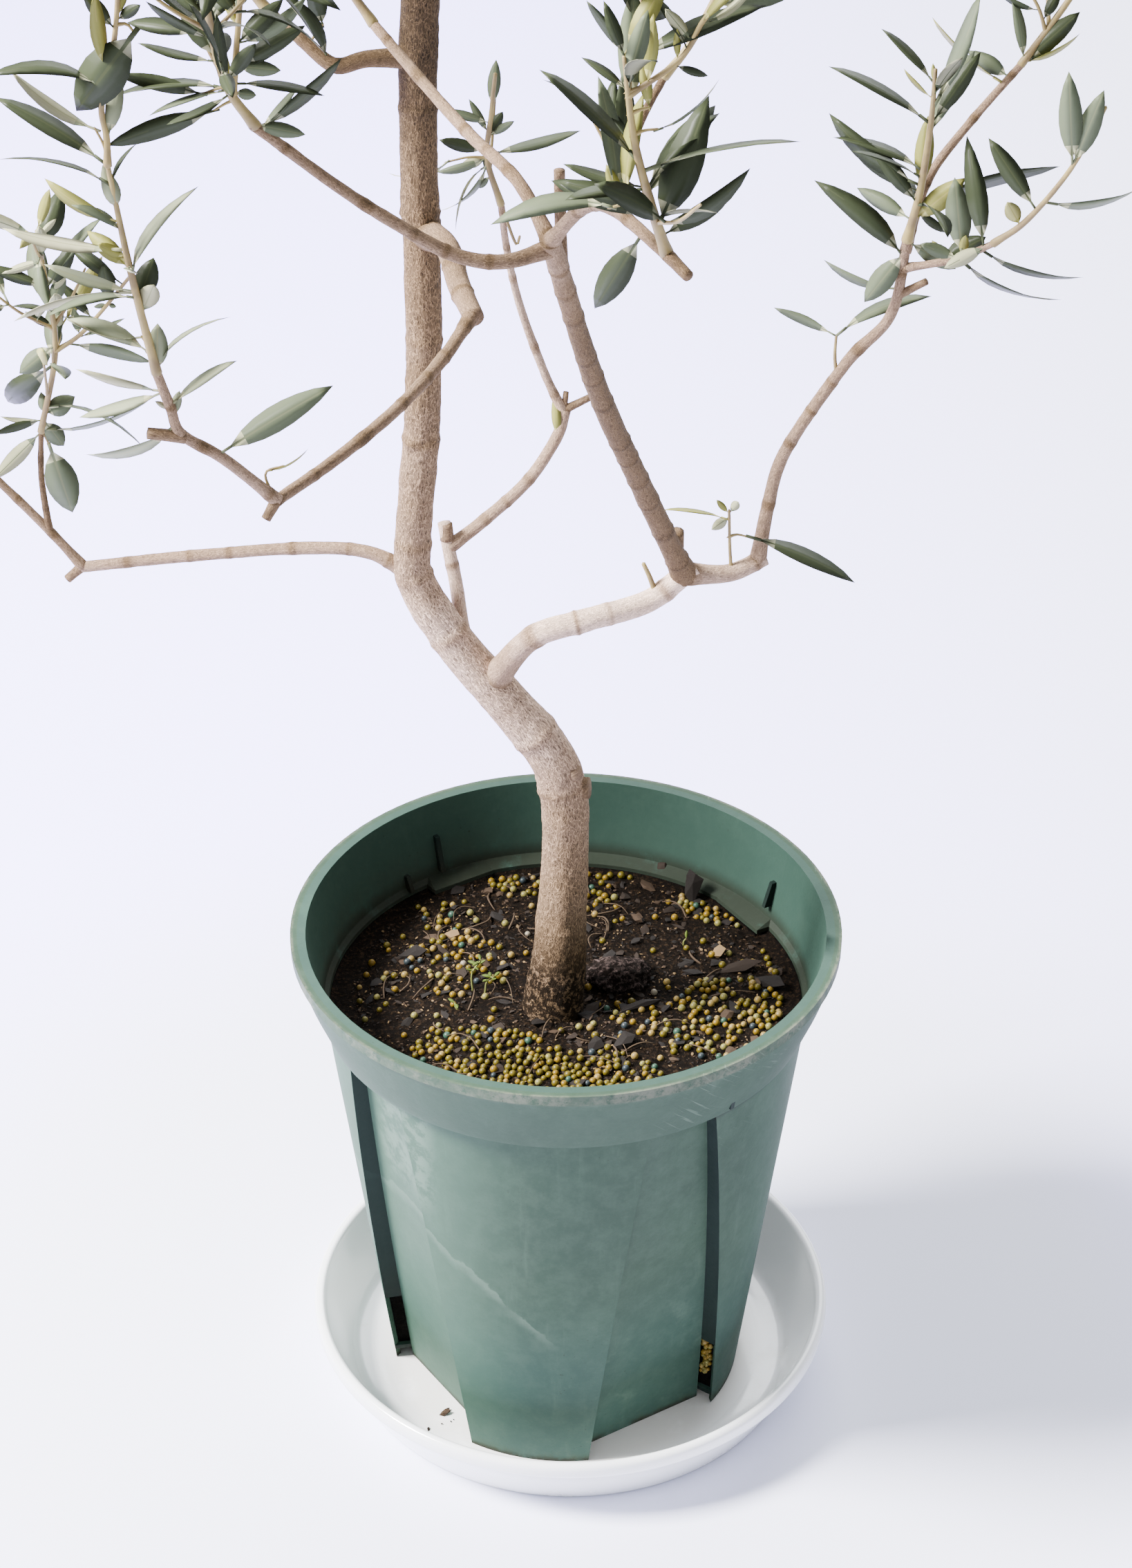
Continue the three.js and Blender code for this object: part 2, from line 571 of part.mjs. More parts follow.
// Whether a straight run with some thickness stays in its own space, out of the spaces that
// come before it, and clear of every limb.
function fits(run, spray, earlier) {
  const { from, to, half } = run;
  if ([from, to].some((end) => gapToPoint(end, spray.stem) + half > spray.reach)) {
    return false;
  }
  if (earlier.some((other) => gapToRoute(from, to, other.stem) - half - GAP < other.reach)) {
    return false;
  }
  for (const limb of limbs.values()) {
    for (let i = 1; i < limb.route.length; i += 1) {
      const keep = Math.max(limb.radii[i - 1], limb.radii[i]) + half + LEAF_CLEARANCE;
      if (gapBetween(from, to, limb.route[i - 1], limb.route[i]) < keep) {
        return false;
      }
    }
  }
  return true;
}

// A repeatable stream of even numbers from 0 to 1.
function streamOf(seed) {
  let state = seed * STREAM_STEP;
  return () => {
    state = (state + 0x6d2b79f5) | 0;
    let mixed = Math.imul(state ^ (state >>> 15), 1 | state);
    mixed = (mixed + Math.imul(mixed ^ (mixed >>> 7), 61 | mixed)) ^ mixed;
    return ((mixed ^ (mixed >>> 14)) >>> 0) / 4294967296;
  };
}

function leafLengthOf(spray) {
  return THREE.MathUtils.clamp(spray.reach * LEAF_LENGTH.share, LEAF_LENGTH.least, LEAF_LENGTH.most);
}

// The tip and the half width of the longest stalk and blade that fit, out of some tries.
function firstFit(point, direction, clearFrom, tries, spray, earlier, sizesAt) {
  const from = point.clone().addScaledVector(direction, clearFrom);
  for (const share of tries) {
    const { stalk, blade } = sizesAt(share);
    const tip = point.clone().addScaledVector(direction, stalk + blade);
    const half = (blade * LEAF_WIDTH_SHARE) / 2;
    const isApart = spray.taken.every((run) => gapBetween(from, tip, run.from, run.to) > LEAVES_APART);
    if (isApart && fits({ from, to: tip, half: half * LEAF_KEEP_SHARE }, spray, earlier)) {
      spray.taken.push({ from, to: tip });
      return { stalk, tip, half };
    }
  }
  return null;
}

// Twigs: pairs on opposite sides of the stem, each pair turned a quarter round from the last.
function twigsOf(spray, earlier) {
  const draw = streamOf(spray.seed);
  const total = lengthOf(spray.stem);
  const knots = Math.max(LEAST_KNOTS, Math.round(total / KNOT_SPACING));
  const leafLength = leafLengthOf(spray);
  const room = spray.reach / Math.sin(THREE.MathUtils.degToRad(TWIG_SPREAD.middle)) - leafLength;
  const twigs = [];
  for (let knot = 0; knot < knots; knot += 1) {
    const { point, along } = placeAt(spray.stem, (total * (knot + KNOT_OFFSET)) / knots);
    const turn = (knot * Math.PI) / 2 + (draw() - 0.5) * QUARTER_TURN_PLAY;
    for (const opposite of [0, Math.PI]) {
      const degrees = TWIG_SPREAD.middle + (draw() - 0.5) * TWIG_SPREAD.play;
      const spread = THREE.MathUtils.degToRad(degrees);
      const length = room * (TWIG_LENGTH.least + TWIG_LENGTH.play * draw());
      const direction = along
        .clone()
        .multiplyScalar(Math.cos(spread))
        .addScaledVector(squareTo(along, turn + opposite), Math.sin(spread));
      direction.z += TWIG_LIFT;
      direction.normalize();
      const reached = firstFit(point, direction, TWIG_START, TWIG_TRIES, spray, earlier, (share) => ({
        stalk: Math.max(length * share, TWIG_LEAST),
        blade: leafLength * Math.sqrt(share),
      }));
      if (reached) {
        const to = point.clone().addScaledVector(direction, reached.stalk);
        twigs.push({ from: point, to, tip: reached.tip, direction, half: reached.half });
      }
    }
  }
  return twigs;
}

// The direction of a leaf that is turned round its twig and spreads out from it.
function leafDirection(along, turn) {
  const spread = THREE.MathUtils.degToRad(LEAF_SPREAD);
  return along
    .clone()
    .multiplyScalar(Math.cos(spread))
    .addScaledVector(squareTo(along, turn), Math.sin(spread))
    .normalize();
}

// Leaves: a pair near the end of each twig and of the stem, besides the leaf a twig ends in.
function leavesOf(spray, twigs, earlier) {
  const draw = streamOf(spray.seed + LEAF_STREAM);
  const leaves = [];
  for (const run of [spray.stem, ...twigs.map(({ from, to }) => [from, to])]) {
    const total = lengthOf(run);
    const first = draw() * Math.PI;
    for (const { share, back, turn } of LEAF_SEATS) {
      const length = leafLengthOf(spray) * (LEAF_PLAY.least + LEAF_PLAY.play * draw());
      const { point, along } = placeAt(run, total * share - back);
      const direction = leafDirection(along, first + turn);
      const reached = firstFit(point, direction, LEAF_START, LEAF_TRIES, spray, earlier, (share) => ({
        stalk: 0,
        blade: length * share,
      }));
      if (reached) {
        leaves.push({ from: point, to: reached.tip, direction, half: reached.half });
      }
    }
  }
  return leaves;
}

// The directions across a blade and through it: the blade is turned to the sky.
function bladeAxes(direction) {
  const width = new THREE.Vector3().crossVectors(SKY, direction).normalize();
  return [width, new THREE.Vector3().crossVectors(direction, width)];
}

// One leaf: eight faces, from its root to its tip, thin from top to bottom.
function leafSolid(leaf) {
  const [width, thickness] = bladeAxes(leaf.direction);
  const blade = new THREE.OctahedronGeometry(1);
  blade.scale(leaf.from.distanceTo(leaf.to) / 2, leaf.half, LEAF_THICKNESS / 2);
  const place = new THREE.Matrix4().makeBasis(leaf.direction, width, thickness);
  place.setPosition(leaf.from.clone().lerp(leaf.to, 0.5));
  return solidOf(blade.applyMatrix4(place));
}

// One twig that runs out into the leaf at its end: four-cornered rings and the leaf's tip.
function twigSolid(twig) {
  const [width, thickness] = bladeAxes(twig.direction);
  const rings = [
    { at: twig.from, across: TWIG_RADIUS, through: TWIG_RADIUS },
    { at: twig.to, across: TWIG_TIP_RADIUS, through: TWIG_TIP_RADIUS },
    { at: twig.to.clone().lerp(twig.tip, 0.5), across: twig.half, through: LEAF_THICKNESS / 2 },
  ];
  const points = rings.flatMap(({ at, across, through }) => [
    at.clone().addScaledVector(width, across),
    at.clone().addScaledVector(thickness, through),
    at.clone().addScaledVector(width, -across),
    at.clone().addScaledVector(thickness, -through),
  ]);
  points.push(twig.tip);
  const faces = [0, 2, 1, 0, 3, 2];
  for (let row = 0; row < points.length - 1; row += 4) {
    const isLast = row === points.length - 5;
    for (let i = 0; i < 4; i += 1) {
      const [a, b] = [row + i, row + ((i + 1) % 4)];
      faces.push(...(isLast ? [a, b, row + 4] : [a, b, b + 4, a, b + 4, a + 4]));
    }
  }
  return solidOf(new THREE.BufferGeometry().setFromPoints(points).setIndex(faces));
}

// One mass of foliage: stem, twigs and leaves joined, cut clear of the bough it grows from.
function sprayNode(spray, earlier) {
  const twigs = twigsOf(spray, earlier);
  const leaves = leavesOf(spray, twigs, earlier);
  const last = spray.stem.length - 1;
  const radii = spray.stem.map((_, i) =>
    THREE.MathUtils.lerp(spray.footRadius, STEM_TIP_RADIUS, i / last),
  );
  const stem = solidOf(limbGeometry(spray.stem, radii, STEM_SIDES));
  let joined = wasm.Manifold.union([stem, ...twigs.map(twigSolid), ...leaves.map(leafSolid)]);
  for (const limb of limbs.values()) {
    joined = joined.subtract(limb.cutter);
  }
  return meshOf(spray.name, joined, materials.leaf);
}

function foliageMeshes() {
  const sprays = FOLIAGE.map(([name, carrier, reach, seed, legs]) => {
    const limb = limbs.get(carrier);
    const tip = placeAt(limb.route, Infinity);
    const start = tip.point.clone().addScaledVector(tip.along, -STEM_ROOT);
    const footRadius = Math.max(limb.radii.at(-1), STEM_FOOT_RADIUS);
    const stem = routeOf(start, legs, STEM_STEPS_PER_LEG);
    return { name, reach, seed, stem, footRadius, taken: [] };
  });
  return sprays.map((spray, i) => sprayNode(spray, sprays.slice(0, i)));
}

addTrunk();
addBoughs();

const pottedOliveTree = new THREE.Group();
pottedOliveTree.add(meshOf("saucer", solidOf(saucerGeometry()), materials.glazed));
pottedOliveTree.add(meshOf("pot", potSolid(), materials.plastic));
pottedOliveTree.add(meshOf("soil", soilSolid(), materials.soil));
for (const [name, limb] of limbs) {
  pottedOliveTree.add(meshOf(name, limb.solid, materials.bark));
}
pottedOliveTree.add(...foliageMeshes());

export default pottedOliveTree;
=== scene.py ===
"""A young olive tree in a slit-sided nursery pot on a white saucer, dressed round its frame.

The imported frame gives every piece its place. The pot, the saucer and the soil are built again
with their finer forms, the limbs are built again with the relief of their bark, and the masses
of foliage are grown on from the limbs by the rule of the part's own source, carried to finer
twigs and to leaves of life size. Sizes in the tables are millimetres; meshes are metres.
"""

import json
import logging
import math
from contextlib import contextmanager
from dataclasses import dataclass, field, replace
from enum import Enum
from typing import Any, Callable, Iterable, Iterator, Sequence

import bmesh
import bpy
import numpy as np
from mathutils import Matrix, Vector, noise

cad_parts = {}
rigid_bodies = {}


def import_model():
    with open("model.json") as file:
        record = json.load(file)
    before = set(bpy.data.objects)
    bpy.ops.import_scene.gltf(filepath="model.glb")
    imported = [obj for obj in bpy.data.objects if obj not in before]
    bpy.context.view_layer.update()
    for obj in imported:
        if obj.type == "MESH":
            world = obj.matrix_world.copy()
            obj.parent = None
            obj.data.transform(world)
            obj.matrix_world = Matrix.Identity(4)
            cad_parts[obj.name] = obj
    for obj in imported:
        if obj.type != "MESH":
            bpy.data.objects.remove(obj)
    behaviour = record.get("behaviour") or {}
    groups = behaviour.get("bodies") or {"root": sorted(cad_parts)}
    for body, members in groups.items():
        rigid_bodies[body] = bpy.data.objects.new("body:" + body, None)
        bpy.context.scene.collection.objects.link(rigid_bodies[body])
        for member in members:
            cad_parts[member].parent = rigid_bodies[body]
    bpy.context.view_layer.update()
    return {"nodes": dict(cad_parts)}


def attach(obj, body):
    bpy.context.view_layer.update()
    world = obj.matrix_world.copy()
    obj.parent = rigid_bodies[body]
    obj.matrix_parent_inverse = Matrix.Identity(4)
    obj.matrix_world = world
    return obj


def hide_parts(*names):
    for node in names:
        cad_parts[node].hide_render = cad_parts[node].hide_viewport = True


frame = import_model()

LOG = logging.getLogger("olive")
BODY = "root"
MM = 0.001
TURN = 2 * math.pi

Leg = tuple[float, float, float]
TrunkLeg = tuple[float, float, float, float]
Colour = tuple[float, float, float]
Pair = tuple[float, float]


# Trees of nodes


class Sock:
    """An output socket on which Python expressions add Math nodes."""

    def __init__(self, board: "Board", socket: bpy.types.NodeSocket) -> None:
        """Wrap an output socket of a tree."""
        self.board = board
        self.socket = socket

    def maths(self, operation: str, *values: "Sock | float") -> "Sock":
        """Return the result of a Math node with its inputs in order."""
        return self.board.sock("ShaderNodeMath", dict(enumerate(values)), operation=operation)

    def __add__(self, other: "Sock | float") -> "Sock":
        """Return the sum."""
        return self.maths("ADD", self, other)

    def __radd__(self, other: float) -> "Sock":
        """Return the sum with a number on the left."""
        return self.maths("ADD", other, self)

    def __sub__(self, other: "Sock | float") -> "Sock":
        """Return the difference."""
        return self.maths("SUBTRACT", self, other)

    def __rsub__(self, other: float) -> "Sock":
        """Return the difference from a number on the left."""
        return self.maths("SUBTRACT", other, self)

    def __mul__(self, other: "Sock | float") -> "Sock":
        """Return the product."""
        return self.maths("MULTIPLY", self, other)

    def __rmul__(self, other: float) -> "Sock":
        """Return the product with a number on the left."""
        return self.maths("MULTIPLY", other, self)

    def __pow__(self, other: "Sock | float") -> "Sock":
        """Return the power."""
        return self.maths("POWER", self, other)

    def rise(self, start: float, end: float) -> "Sock":
        """Return a smooth mask, 0 at start and 1 at end, whichever of the two is lower."""
        values = {"Value": self, "From Min": start, "From Max": end}
        return self.board.sock("ShaderNodeMapRange", values, interpolation_type="SMOOTHSTEP")

    def either(self, other: "Sock") -> "Sock":
        """Return the larger of two masks."""
        return self.maths("MAXIMUM", self, other)


class Board:
    """A node tree with one general method for adding a node."""

    def __init__(self, tree: bpy.types.NodeTree) -> None:
        """Start on a tree without nodes."""
        self.tree = tree
        self.tree.nodes.clear()

    def node(self, kind: str, values: dict[Any, Any] | None = None, **settings: Any) -> bpy.types.Node:
        """Add a node.

        Args:
            kind: The node's type.
            values: For each input, by name or number, a Sock or a value.
            settings: Its properties.

        Returns:
            The node.
        """
        node = self.tree.nodes.new(kind)
        for name, value in settings.items():
            setattr(node, name, value)
        for name, value in (values or {}).items():
            if isinstance(value, Sock):
                self.tree.links.new(value.socket, node.inputs[name])
            else:
                node.inputs[name].default_value = value
        return node

    def sock(self, kind: str, values: dict[Any, Any] | None = None, output: int | str = 0,
             **settings: Any) -> Sock:
        """Add a node and return one of its outputs."""
        return Sock(self, self.node(kind, values, **settings).outputs[output])


class Finish(Board):
    """The node tree of one material, with the patterns that the finishes share."""

    def __init__(self, name: str) -> None:
        """Make the material.

        Args:
            name: The material's name.
        """
        self.material = bpy.data.materials.new(name)
        self.material.use_nodes = True
        super().__init__(self.material.node_tree)
        self.place = self.sock("ShaderNodeTexCoord", output="Object")

    def stretched(self, scale: Colour, at: Sock | None = None) -> Sock:
        """Return coordinates, by default the object's own, scaled on each axis."""
        return self.sock("ShaderNodeMapping", {"Vector": at or self.place, "Scale": scale})

    def cloud(self, scale: float, detail: float = 3.0, rough: float = 0.5, at: Sock | None = None,
              output: str = "Fac") -> Sock:
        """Return fractal noise with so many waves for each metre, about 0.5 at its middle."""
        values = {"Vector": at or self.place, "Scale": scale, "Detail": detail, "Roughness": rough}
        return self.sock("ShaderNodeTexNoise", values, output)

    def cells(self, scale: float, feature: str = "F1", at: Sock | None = None) -> Sock:
        """Return the distance in a pattern with so many cells for each metre."""
        values = {"Vector": at or self.place, "Scale": scale}
        return self.sock("ShaderNodeTexVoronoi", values, "Distance", feature=feature)

    def axis(self, name: str) -> Sock:
        """Return one axis of the object's coordinates, in metres."""
        return self.sock("ShaderNodeSeparateXYZ", {0: self.place}, name)

    def radius(self) -> Sock:
        """Return the distance from the object's upright axis, in metres."""
        across, deep = self.axis("X"), self.axis("Y")
        return (across * across + deep * deep) ** 0.5

    def vector(self, operation: str, first: Sock, **more: Sock | float) -> Sock:
        """Return the result of a Vector Math node."""
        return self.sock("ShaderNodeVectorMath", {0: first, **more}, operation=operation)

    def ramp(self, factor: Sock, stops: Sequence[tuple[float, Colour]]) -> Sock:
        """Return the colour at a place on a ramp.

        Args:
            factor: The place.
            stops: The positions and colours, from left to right.

        Returns:
            The colour.
        """
        node = self.node("ShaderNodeValToRGB", {0: factor})
        for _ in stops[2:]:
            node.color_ramp.elements.new(1.0)
        for element, (position, colour) in zip(node.color_ramp.elements, stops):
            element.position = position
            element.color = (*colour, 1.0)
        return Sock(self, node.outputs[0])

    def layered(self, colour: Sock | Colour, *layers: tuple[Sock, Sock | Colour]) -> Sock:
        """Lay colours over a first one.

        Args:
            colour: The first colour.
            layers: The mask and the colour of each layer, from the lowest up.

        Returns:
            The mixed colour.
        """
        for mask, tone in layers:
            values = {0: mask, 6: opaque(colour), 7: opaque(tone)}
            colour = self.sock("ShaderNodeMix", values, 2, data_type="RGBA", clamp_factor=True)
        return colour

    def relief(self, *layers: tuple[Sock, float]) -> Sock:
        """Return the normal of stacked patterns, each with its full height in metres."""
        first, *others = (pattern * depth for pattern, depth in layers)
        return self.sock("ShaderNodeBump", {"Distance": 1.0, "Height": sum(others, first)})

    def finish(self, colour: Any, roughness: Any, **more: Any) -> bpy.types.Material:
        """Close the tree with its shader.

        Args:
            colour: The base colour or its socket.
            roughness: The roughness or its socket.
            more: Other inputs of the shader, with spaces as underscores.

        Returns:
            The material.
        """
        values = {"Base Color": opaque(colour), "Roughness": roughness}
        values.update({name.replace("_", " "): value for name, value in more.items()})
        self.node("ShaderNodeOutputMaterial", {0: self.sock("ShaderNodeBsdfPrincipled", values)})
        return self.material


def opaque(colour: Any) -> Any:
    """Return a colour with its fourth value, or its socket as it is."""
    return (*colour, 1.0) if isinstance(colour, tuple) else colour


# Finishes


@dataclass(frozen=True)
class PotPlastic:
    """Weathered grey-green moulded plastic with chalk, scuffs and a dirty foot, with painted light on its
    left and right sides and painted shade low on the inner wall.
    """

    name: str = "pot_plastic"
    body: Colour = (0.0215, 0.0425, 0.0262)
    worn: Colour = (0.030, 0.059, 0.0355)
    # painted light: the colour that lightens the sides of the pot on which the light falls
    painted_light: Colour = (0.057, 0.112, 0.073)
    chalk: Colour = (0.098, 0.147, 0.106)
    lip: Colour = (0.115, 0.125, 0.09)
    dirt: Colour = (0.013, 0.0115, 0.006)
    algae: Colour = (0.03, 0.034, 0.011)
    # painted shade: the darker colour of the lower inner wall, most on the left
    inner_shade: Colour = (0.03, 0.031, 0.021)
    low: Colour = (0.027, 0.060, 0.051)

    def material(self) -> bpy.types.Material:
        """Build the material.

        Returns:
            The material.
        """
        tree = Finish(self.name)
        height, across, radius = tree.axis("Z"), tree.axis("X"), tree.radius()
        broad, grain = tree.cloud(7.0, 4.0, 0.55), tree.cloud(420.0, 2.0, 0.6)
        smear = tree.cloud(46.0, 5.0, 0.7)
        dust = tree.cloud(75.0, 6.0, 0.75).rise(0.36, 0.7)
        streak = tree.cloud(1.0, 4.0, 0.6, tree.stretched((130.0, 130.0, 9.0))).rise(0.55, 0.85)
        bloom = tree.cloud(24.0, 6.0, 0.68).rise(0.57, 0.74) * tree.cloud(5.0, 2.0).rise(0.42, 0.62)
        wall = height.rise(0.262, 0.25)
        # Painted light: the left of the front and the right sector are lightened where the light from the
        # left and the light from behind on the right fall.
        painted_light_sides = across.rise(-0.015, -0.075).either(across.rise(0.088, 0.12) * 0.6) * wall
        patch = across.rise(-0.106, -0.095) * across.rise(-0.066, -0.08) * height.rise(0.165, 0.2)
        patch = patch * wall * tree.cloud(90.0, 4.0, 0.7).rise(0.4, 0.58)
        depth = 0.1337 + 0.28 * (height - 0.256) - radius
        inside = depth.rise(0.0, 0.0006) * height.rise(0.25, 0.255)
        scratch = self._scratch(tree, across, height) * depth.rise(-0.0005, -0.002)
        band = height.rise(0.2545, 0.258) * height.rise(0.297, 0.285)
        outer = radius.rise(0.1478, 0.1495) * height.rise(0.292, 0.297)
        powder = tree.cloud(200.0, 4.0, 0.75).rise(0.3, 0.55)
        rim_dust = outer * (0.25 + 0.75 * smear.rise(0.42, 0.62)) * powder
        # Painted shade low on the inner wall, strongest on the left where the pot shades itself, broken into
        # patches.
        corner = height.rise(0.285, 0.262) * (across.rise(0.03, -0.1) + 0.2) * smear.rise(0.25, 0.6)
        ledge = height.rise(0.268, 0.2575) * smear.rise(0.2, 0.45)
        foot = height.rise(0.012, 0.003) * tree.cloud(90.0, 5.0, 0.7).rise(0.4, 0.62)
        edge = height.rise(0.008, 0.0035) * smear.rise(0.34, 0.5)
        specks = tree.cloud(700.0, 1.0).rise(0.7, 0.78) * tree.cloud(30.0, 2.0).rise(0.5, 0.66)
        colour = tree.layered(
            self.body, (broad.rise(0.36, 0.72), self.worn), (height.rise(0.15, 0.02) * 0.85, self.low),
            (dust * 0.13, self.chalk), (streak * 0.2, self.chalk), (bloom * 0.42, self.chalk),
            (painted_light_sides * (0.3 + 0.3 * broad), self.painted_light), (patch * 0.7, self.chalk),
            (scratch * 0.75, self.chalk), (self._tide(tree, across, height, broad) * 0.42, self.chalk),
            (band * 0.4, self.body), (rim_dust * 0.8, self.lip), (inside * 0.55, self.low),
            (inside * corner * 0.35, self.inner_shade), (inside * ledge * 0.75, self.dirt),
            (foot * 0.5, self.algae), (edge * 0.85, self.dirt), (specks * 0.5, self.dirt),
        )
        normal = tree.relief((grain, 0.00006), (broad, 0.0012), (scratch, -0.00008))
        roughness = 0.5 + 0.16 * broad + 0.08 * grain + 0.1 * bloom
        return tree.finish(colour, roughness, Normal=normal, Specular_IOR_Level=0.13)

    @staticmethod
    def _tide(tree: Finish, across: Sock, height: Sock, broad: Sock) -> Sock:
        """Return the pale edges of old water marks, which slant down across the wall.

        Args:
            tree: The material's tree.
            across: The place across the pot.
            height: The height of the place.
            broad: Broad clouds.

        Returns:
            The mask.
        """
        slope = height + 0.75 * across + 0.09 * broad + 0.012 * tree.cloud(60.0, 4.0, 0.7)
        line = slope.rise(0.136, 0.145) * slope.rise(0.1464, 0.145)
        return line * across.rise(0.0, -0.02) * tree.cloud(34.0, 2.0).rise(0.34, 0.5)

    @staticmethod
    def _scratch(tree: Finish, across: Sock, height: Sock) -> Sock:
        """Return slanting scratches, high up on the right.

        Args:
            tree: The material's tree.
            across: The place across the pot.
            height: The height of the place.

        Returns:
            The mask.
        """
        slant = tree.sock("ShaderNodeMapping", {"Vector": tree.place, "Rotation": (0.0, 0.62, 0.0)})
        line = tree.cloud(1.0, 3.0, 0.5, tree.stretched((900.0, 60.0, 26.0), slant)).rise(0.58, 0.7)
        where = across.rise(0.04, 0.06) * height.rise(0.22, 0.25)
        return line * (where * tree.cloud(22.0, 2.0).rise(0.44, 0.6))


@dataclass(frozen=True)
class SaucerGlaze:
    """Smooth white saucer with a soft gloss, a little dust where water dries and painted contact shadow
    round the pot's foot.
    """

    body: Colour = (0.85, 0.86, 0.87)
    dust: Colour = (0.52, 0.49, 0.43)

    def material(self) -> bpy.types.Material:
        """Build the material.

        Returns:
            The material.
        """
        tree = Finish("saucer_glaze")
        height, patch = tree.axis("Z"), tree.cloud(26.0, 6.0, 0.7)
        # Painted contact shadow: the floor round the pot's foot is darkened with the dust colour; the rest
        # of the floor mask is dust where water dries.
        near = tree.radius().rise(0.12, 0.098)
        floor = height.rise(0.012, 0.003) * patch.rise(0.5, 0.78).either(near * patch.rise(0.2, 0.5))
        specks = tree.cells(260.0).rise(0.12, 0.05) * tree.cloud(40.0, 2.0).rise(0.55, 0.7)
        colour = tree.layered(self.body, (floor * 0.6, self.dust),
                              (specks * height.rise(0.01, 0.003) * 0.7, self.dust))
        normal = tree.relief((tree.cloud(14.0, 2.0), 0.0005))
        return tree.finish(colour, 0.16 + 0.3 * floor + 0.05 * patch, Normal=normal, Coat_Weight=0.25)


@dataclass(frozen=True)
class Earth:
    """Dark, moist potting mix, with painted shade low down inside the pot, or a lump of charred bark on it.
    """

    name: str = "earth"
    dark: Colour = (0.0035, 0.0022, 0.0013)
    light: Colour = (0.034, 0.020, 0.0105)
    light_from: float = 0.47
    # painted shade: the near-black colour of the soil low down inside the pot, seen through the slits
    painted_shade_low: Colour = (0.001, 0.0008, 0.0006)

    def material(self) -> bpy.types.Material:
        """Build the material.

        Returns:
            The material.
        """
        tree = Finish(self.name)
        crumbs = tree.cloud(380.0, 5.0, 0.75)
        colour = tree.layered(
            self.dark, (crumbs.rise(self.light_from, self.light_from + 0.26), self.light),
            # Painted shade: the soil is darkened low down inside the pot.
            (tree.axis("Z").rise(0.24, 0.2) * 0.85, self.painted_shade_low),
        )
        normal = tree.relief((crumbs, 0.0022), (tree.cells(130.0), 0.0016))
        return tree.finish(colour, 0.95 - 0.1 * crumbs, Normal=normal, Specular_IOR_Level=0.06)


@dataclass(frozen=True)
class Bark:
    """Young olive bark with a net of fine pale ridges, in the tone that its limb gives."""

    name: str = "bark"
    tones: tuple[tuple[float, Colour], ...] = (
        (0.0, (0.036, 0.023, 0.012)), (0.5, (0.122, 0.077, 0.041)),
        (0.75, (0.262, 0.175, 0.116)), (1.0, (0.68, 0.495, 0.385)),
    )
    foot: Colour = (0.011, 0.0065, 0.003)
    grain: float = 1.0
    net: float = 1.0
    foot_top: float = 0.335
    foot_low: float = 0.268

    def material(self) -> bpy.types.Material:
        """Build the material.

        Returns:
            The material.
        """
        tree = Finish(self.name)
        limb = tree.sock("ShaderNodeAttribute", output="Vector", attribute_name="limb_space")
        tone = tree.sock("ShaderNodeAttribute", output="Fac", attribute_name="tone")
        long = tree.stretched((1.0, 1.0, 0.3), limb)
        warp = tree.vector("SCALE", tree.cloud(380.0, 4.0, at=long, output="Color"), Scale=0.0042)
        bent = tree.sock("ShaderNodeVectorMath", {0: long, 1: warp}, operation="ADD")
        line = tree.cells(900.0 * self.grain, "DISTANCE_TO_EDGE", bent).rise(0.15, 0.05)
        broad = tree.cloud(30.0 * self.grain, 4.0, 0.6, limb)
        fine = tree.cloud(1100.0 * self.grain, 3.0, 0.6, long)
        ramp = tree.ramp(tone + 0.3 * broad - 0.15, self.tones)
        crack = tree.vector("SCALE", ramp, Scale=0.24)
        ridge = tree.vector("SCALE", ramp, Scale=2.5)
        blotch = tree.cloud(95.0 * self.grain, 4.0, 0.6, limb).rise(0.6, 0.74)
        grit = tree.cloud(330.0, 3.0, 0.7).rise(0.46, 0.62)
        low = tree.axis("Z").rise(self.foot_top, self.foot_low) * (0.92 + 0.5 * broad)
        colour = tree.layered(
            ramp, (fine.rise(0.54, 0.32) * (0.35 + 0.55 * self.net), crack),
            (line * (0.85 - 0.3 * broad) * self.net, ridge), (blotch * 0.4, crack),
            (low * (0.98 - 0.58 * grit), self.foot),
        )
        normal = tree.relief((line, 0.0007 * self.net), (fine, 0.0006 * self.net), (broad, 0.0008))
        return tree.finish(colour, 0.78 + 0.14 * fine, Normal=normal, Specular_IOR_Level=0.1)


@dataclass(frozen=True)
class Plain:
    """One even colour, for small pieces that are dealt out by kind."""

    name: str
    colour: Colour
    roughness: float = 0.55
    specular: float = 0.5

    def material(self) -> bpy.types.Material:
        """Build the material."""
        return Finish(self.name).finish(self.colour, self.roughness, Specular_IOR_Level=self.specular)


@dataclass(frozen=True)
class Floor:
    """A plain pale floor with a painted bluish glow away from the pot, strongest on the left and kept off
    the pot's shadow.
    """

    colour: Colour = (0.83, 0.84, 1.0)
    # painted light: the tint of the glow that the floor gives off
    painted_glow_tint: Colour = (0.5, 0.12, 3.4)

    def material(self) -> bpy.types.Material:
        """Build the material.

        Returns:
            The material.
        """
        tree = Finish("floor")
        reach = tree.radius()
        # Painted light: the floor glows bluish away from the pot but not near it, where its shadow lies, and
        # less towards the front, to the right and far away.
        far = reach.rise(0.3, 0.62) * reach.rise(2.9, 2.1) * tree.axis("Y").rise(-0.9, -0.3)
        painted_glow = tree.layered((0.0, 0.0, 0.0), (far * tree.axis("X").rise(0.75, -0.25), self.painted_glow_tint))
        return tree.finish(self.colour, 0.7, Specular_IOR_Level=0.15, Emission_Color=painted_glow,
                           Emission_Strength=1.0)


# Meshes and objects


def vec(*values: float) -> np.ndarray:
    """Return a point or direction as an array."""
    return np.array(values, float)


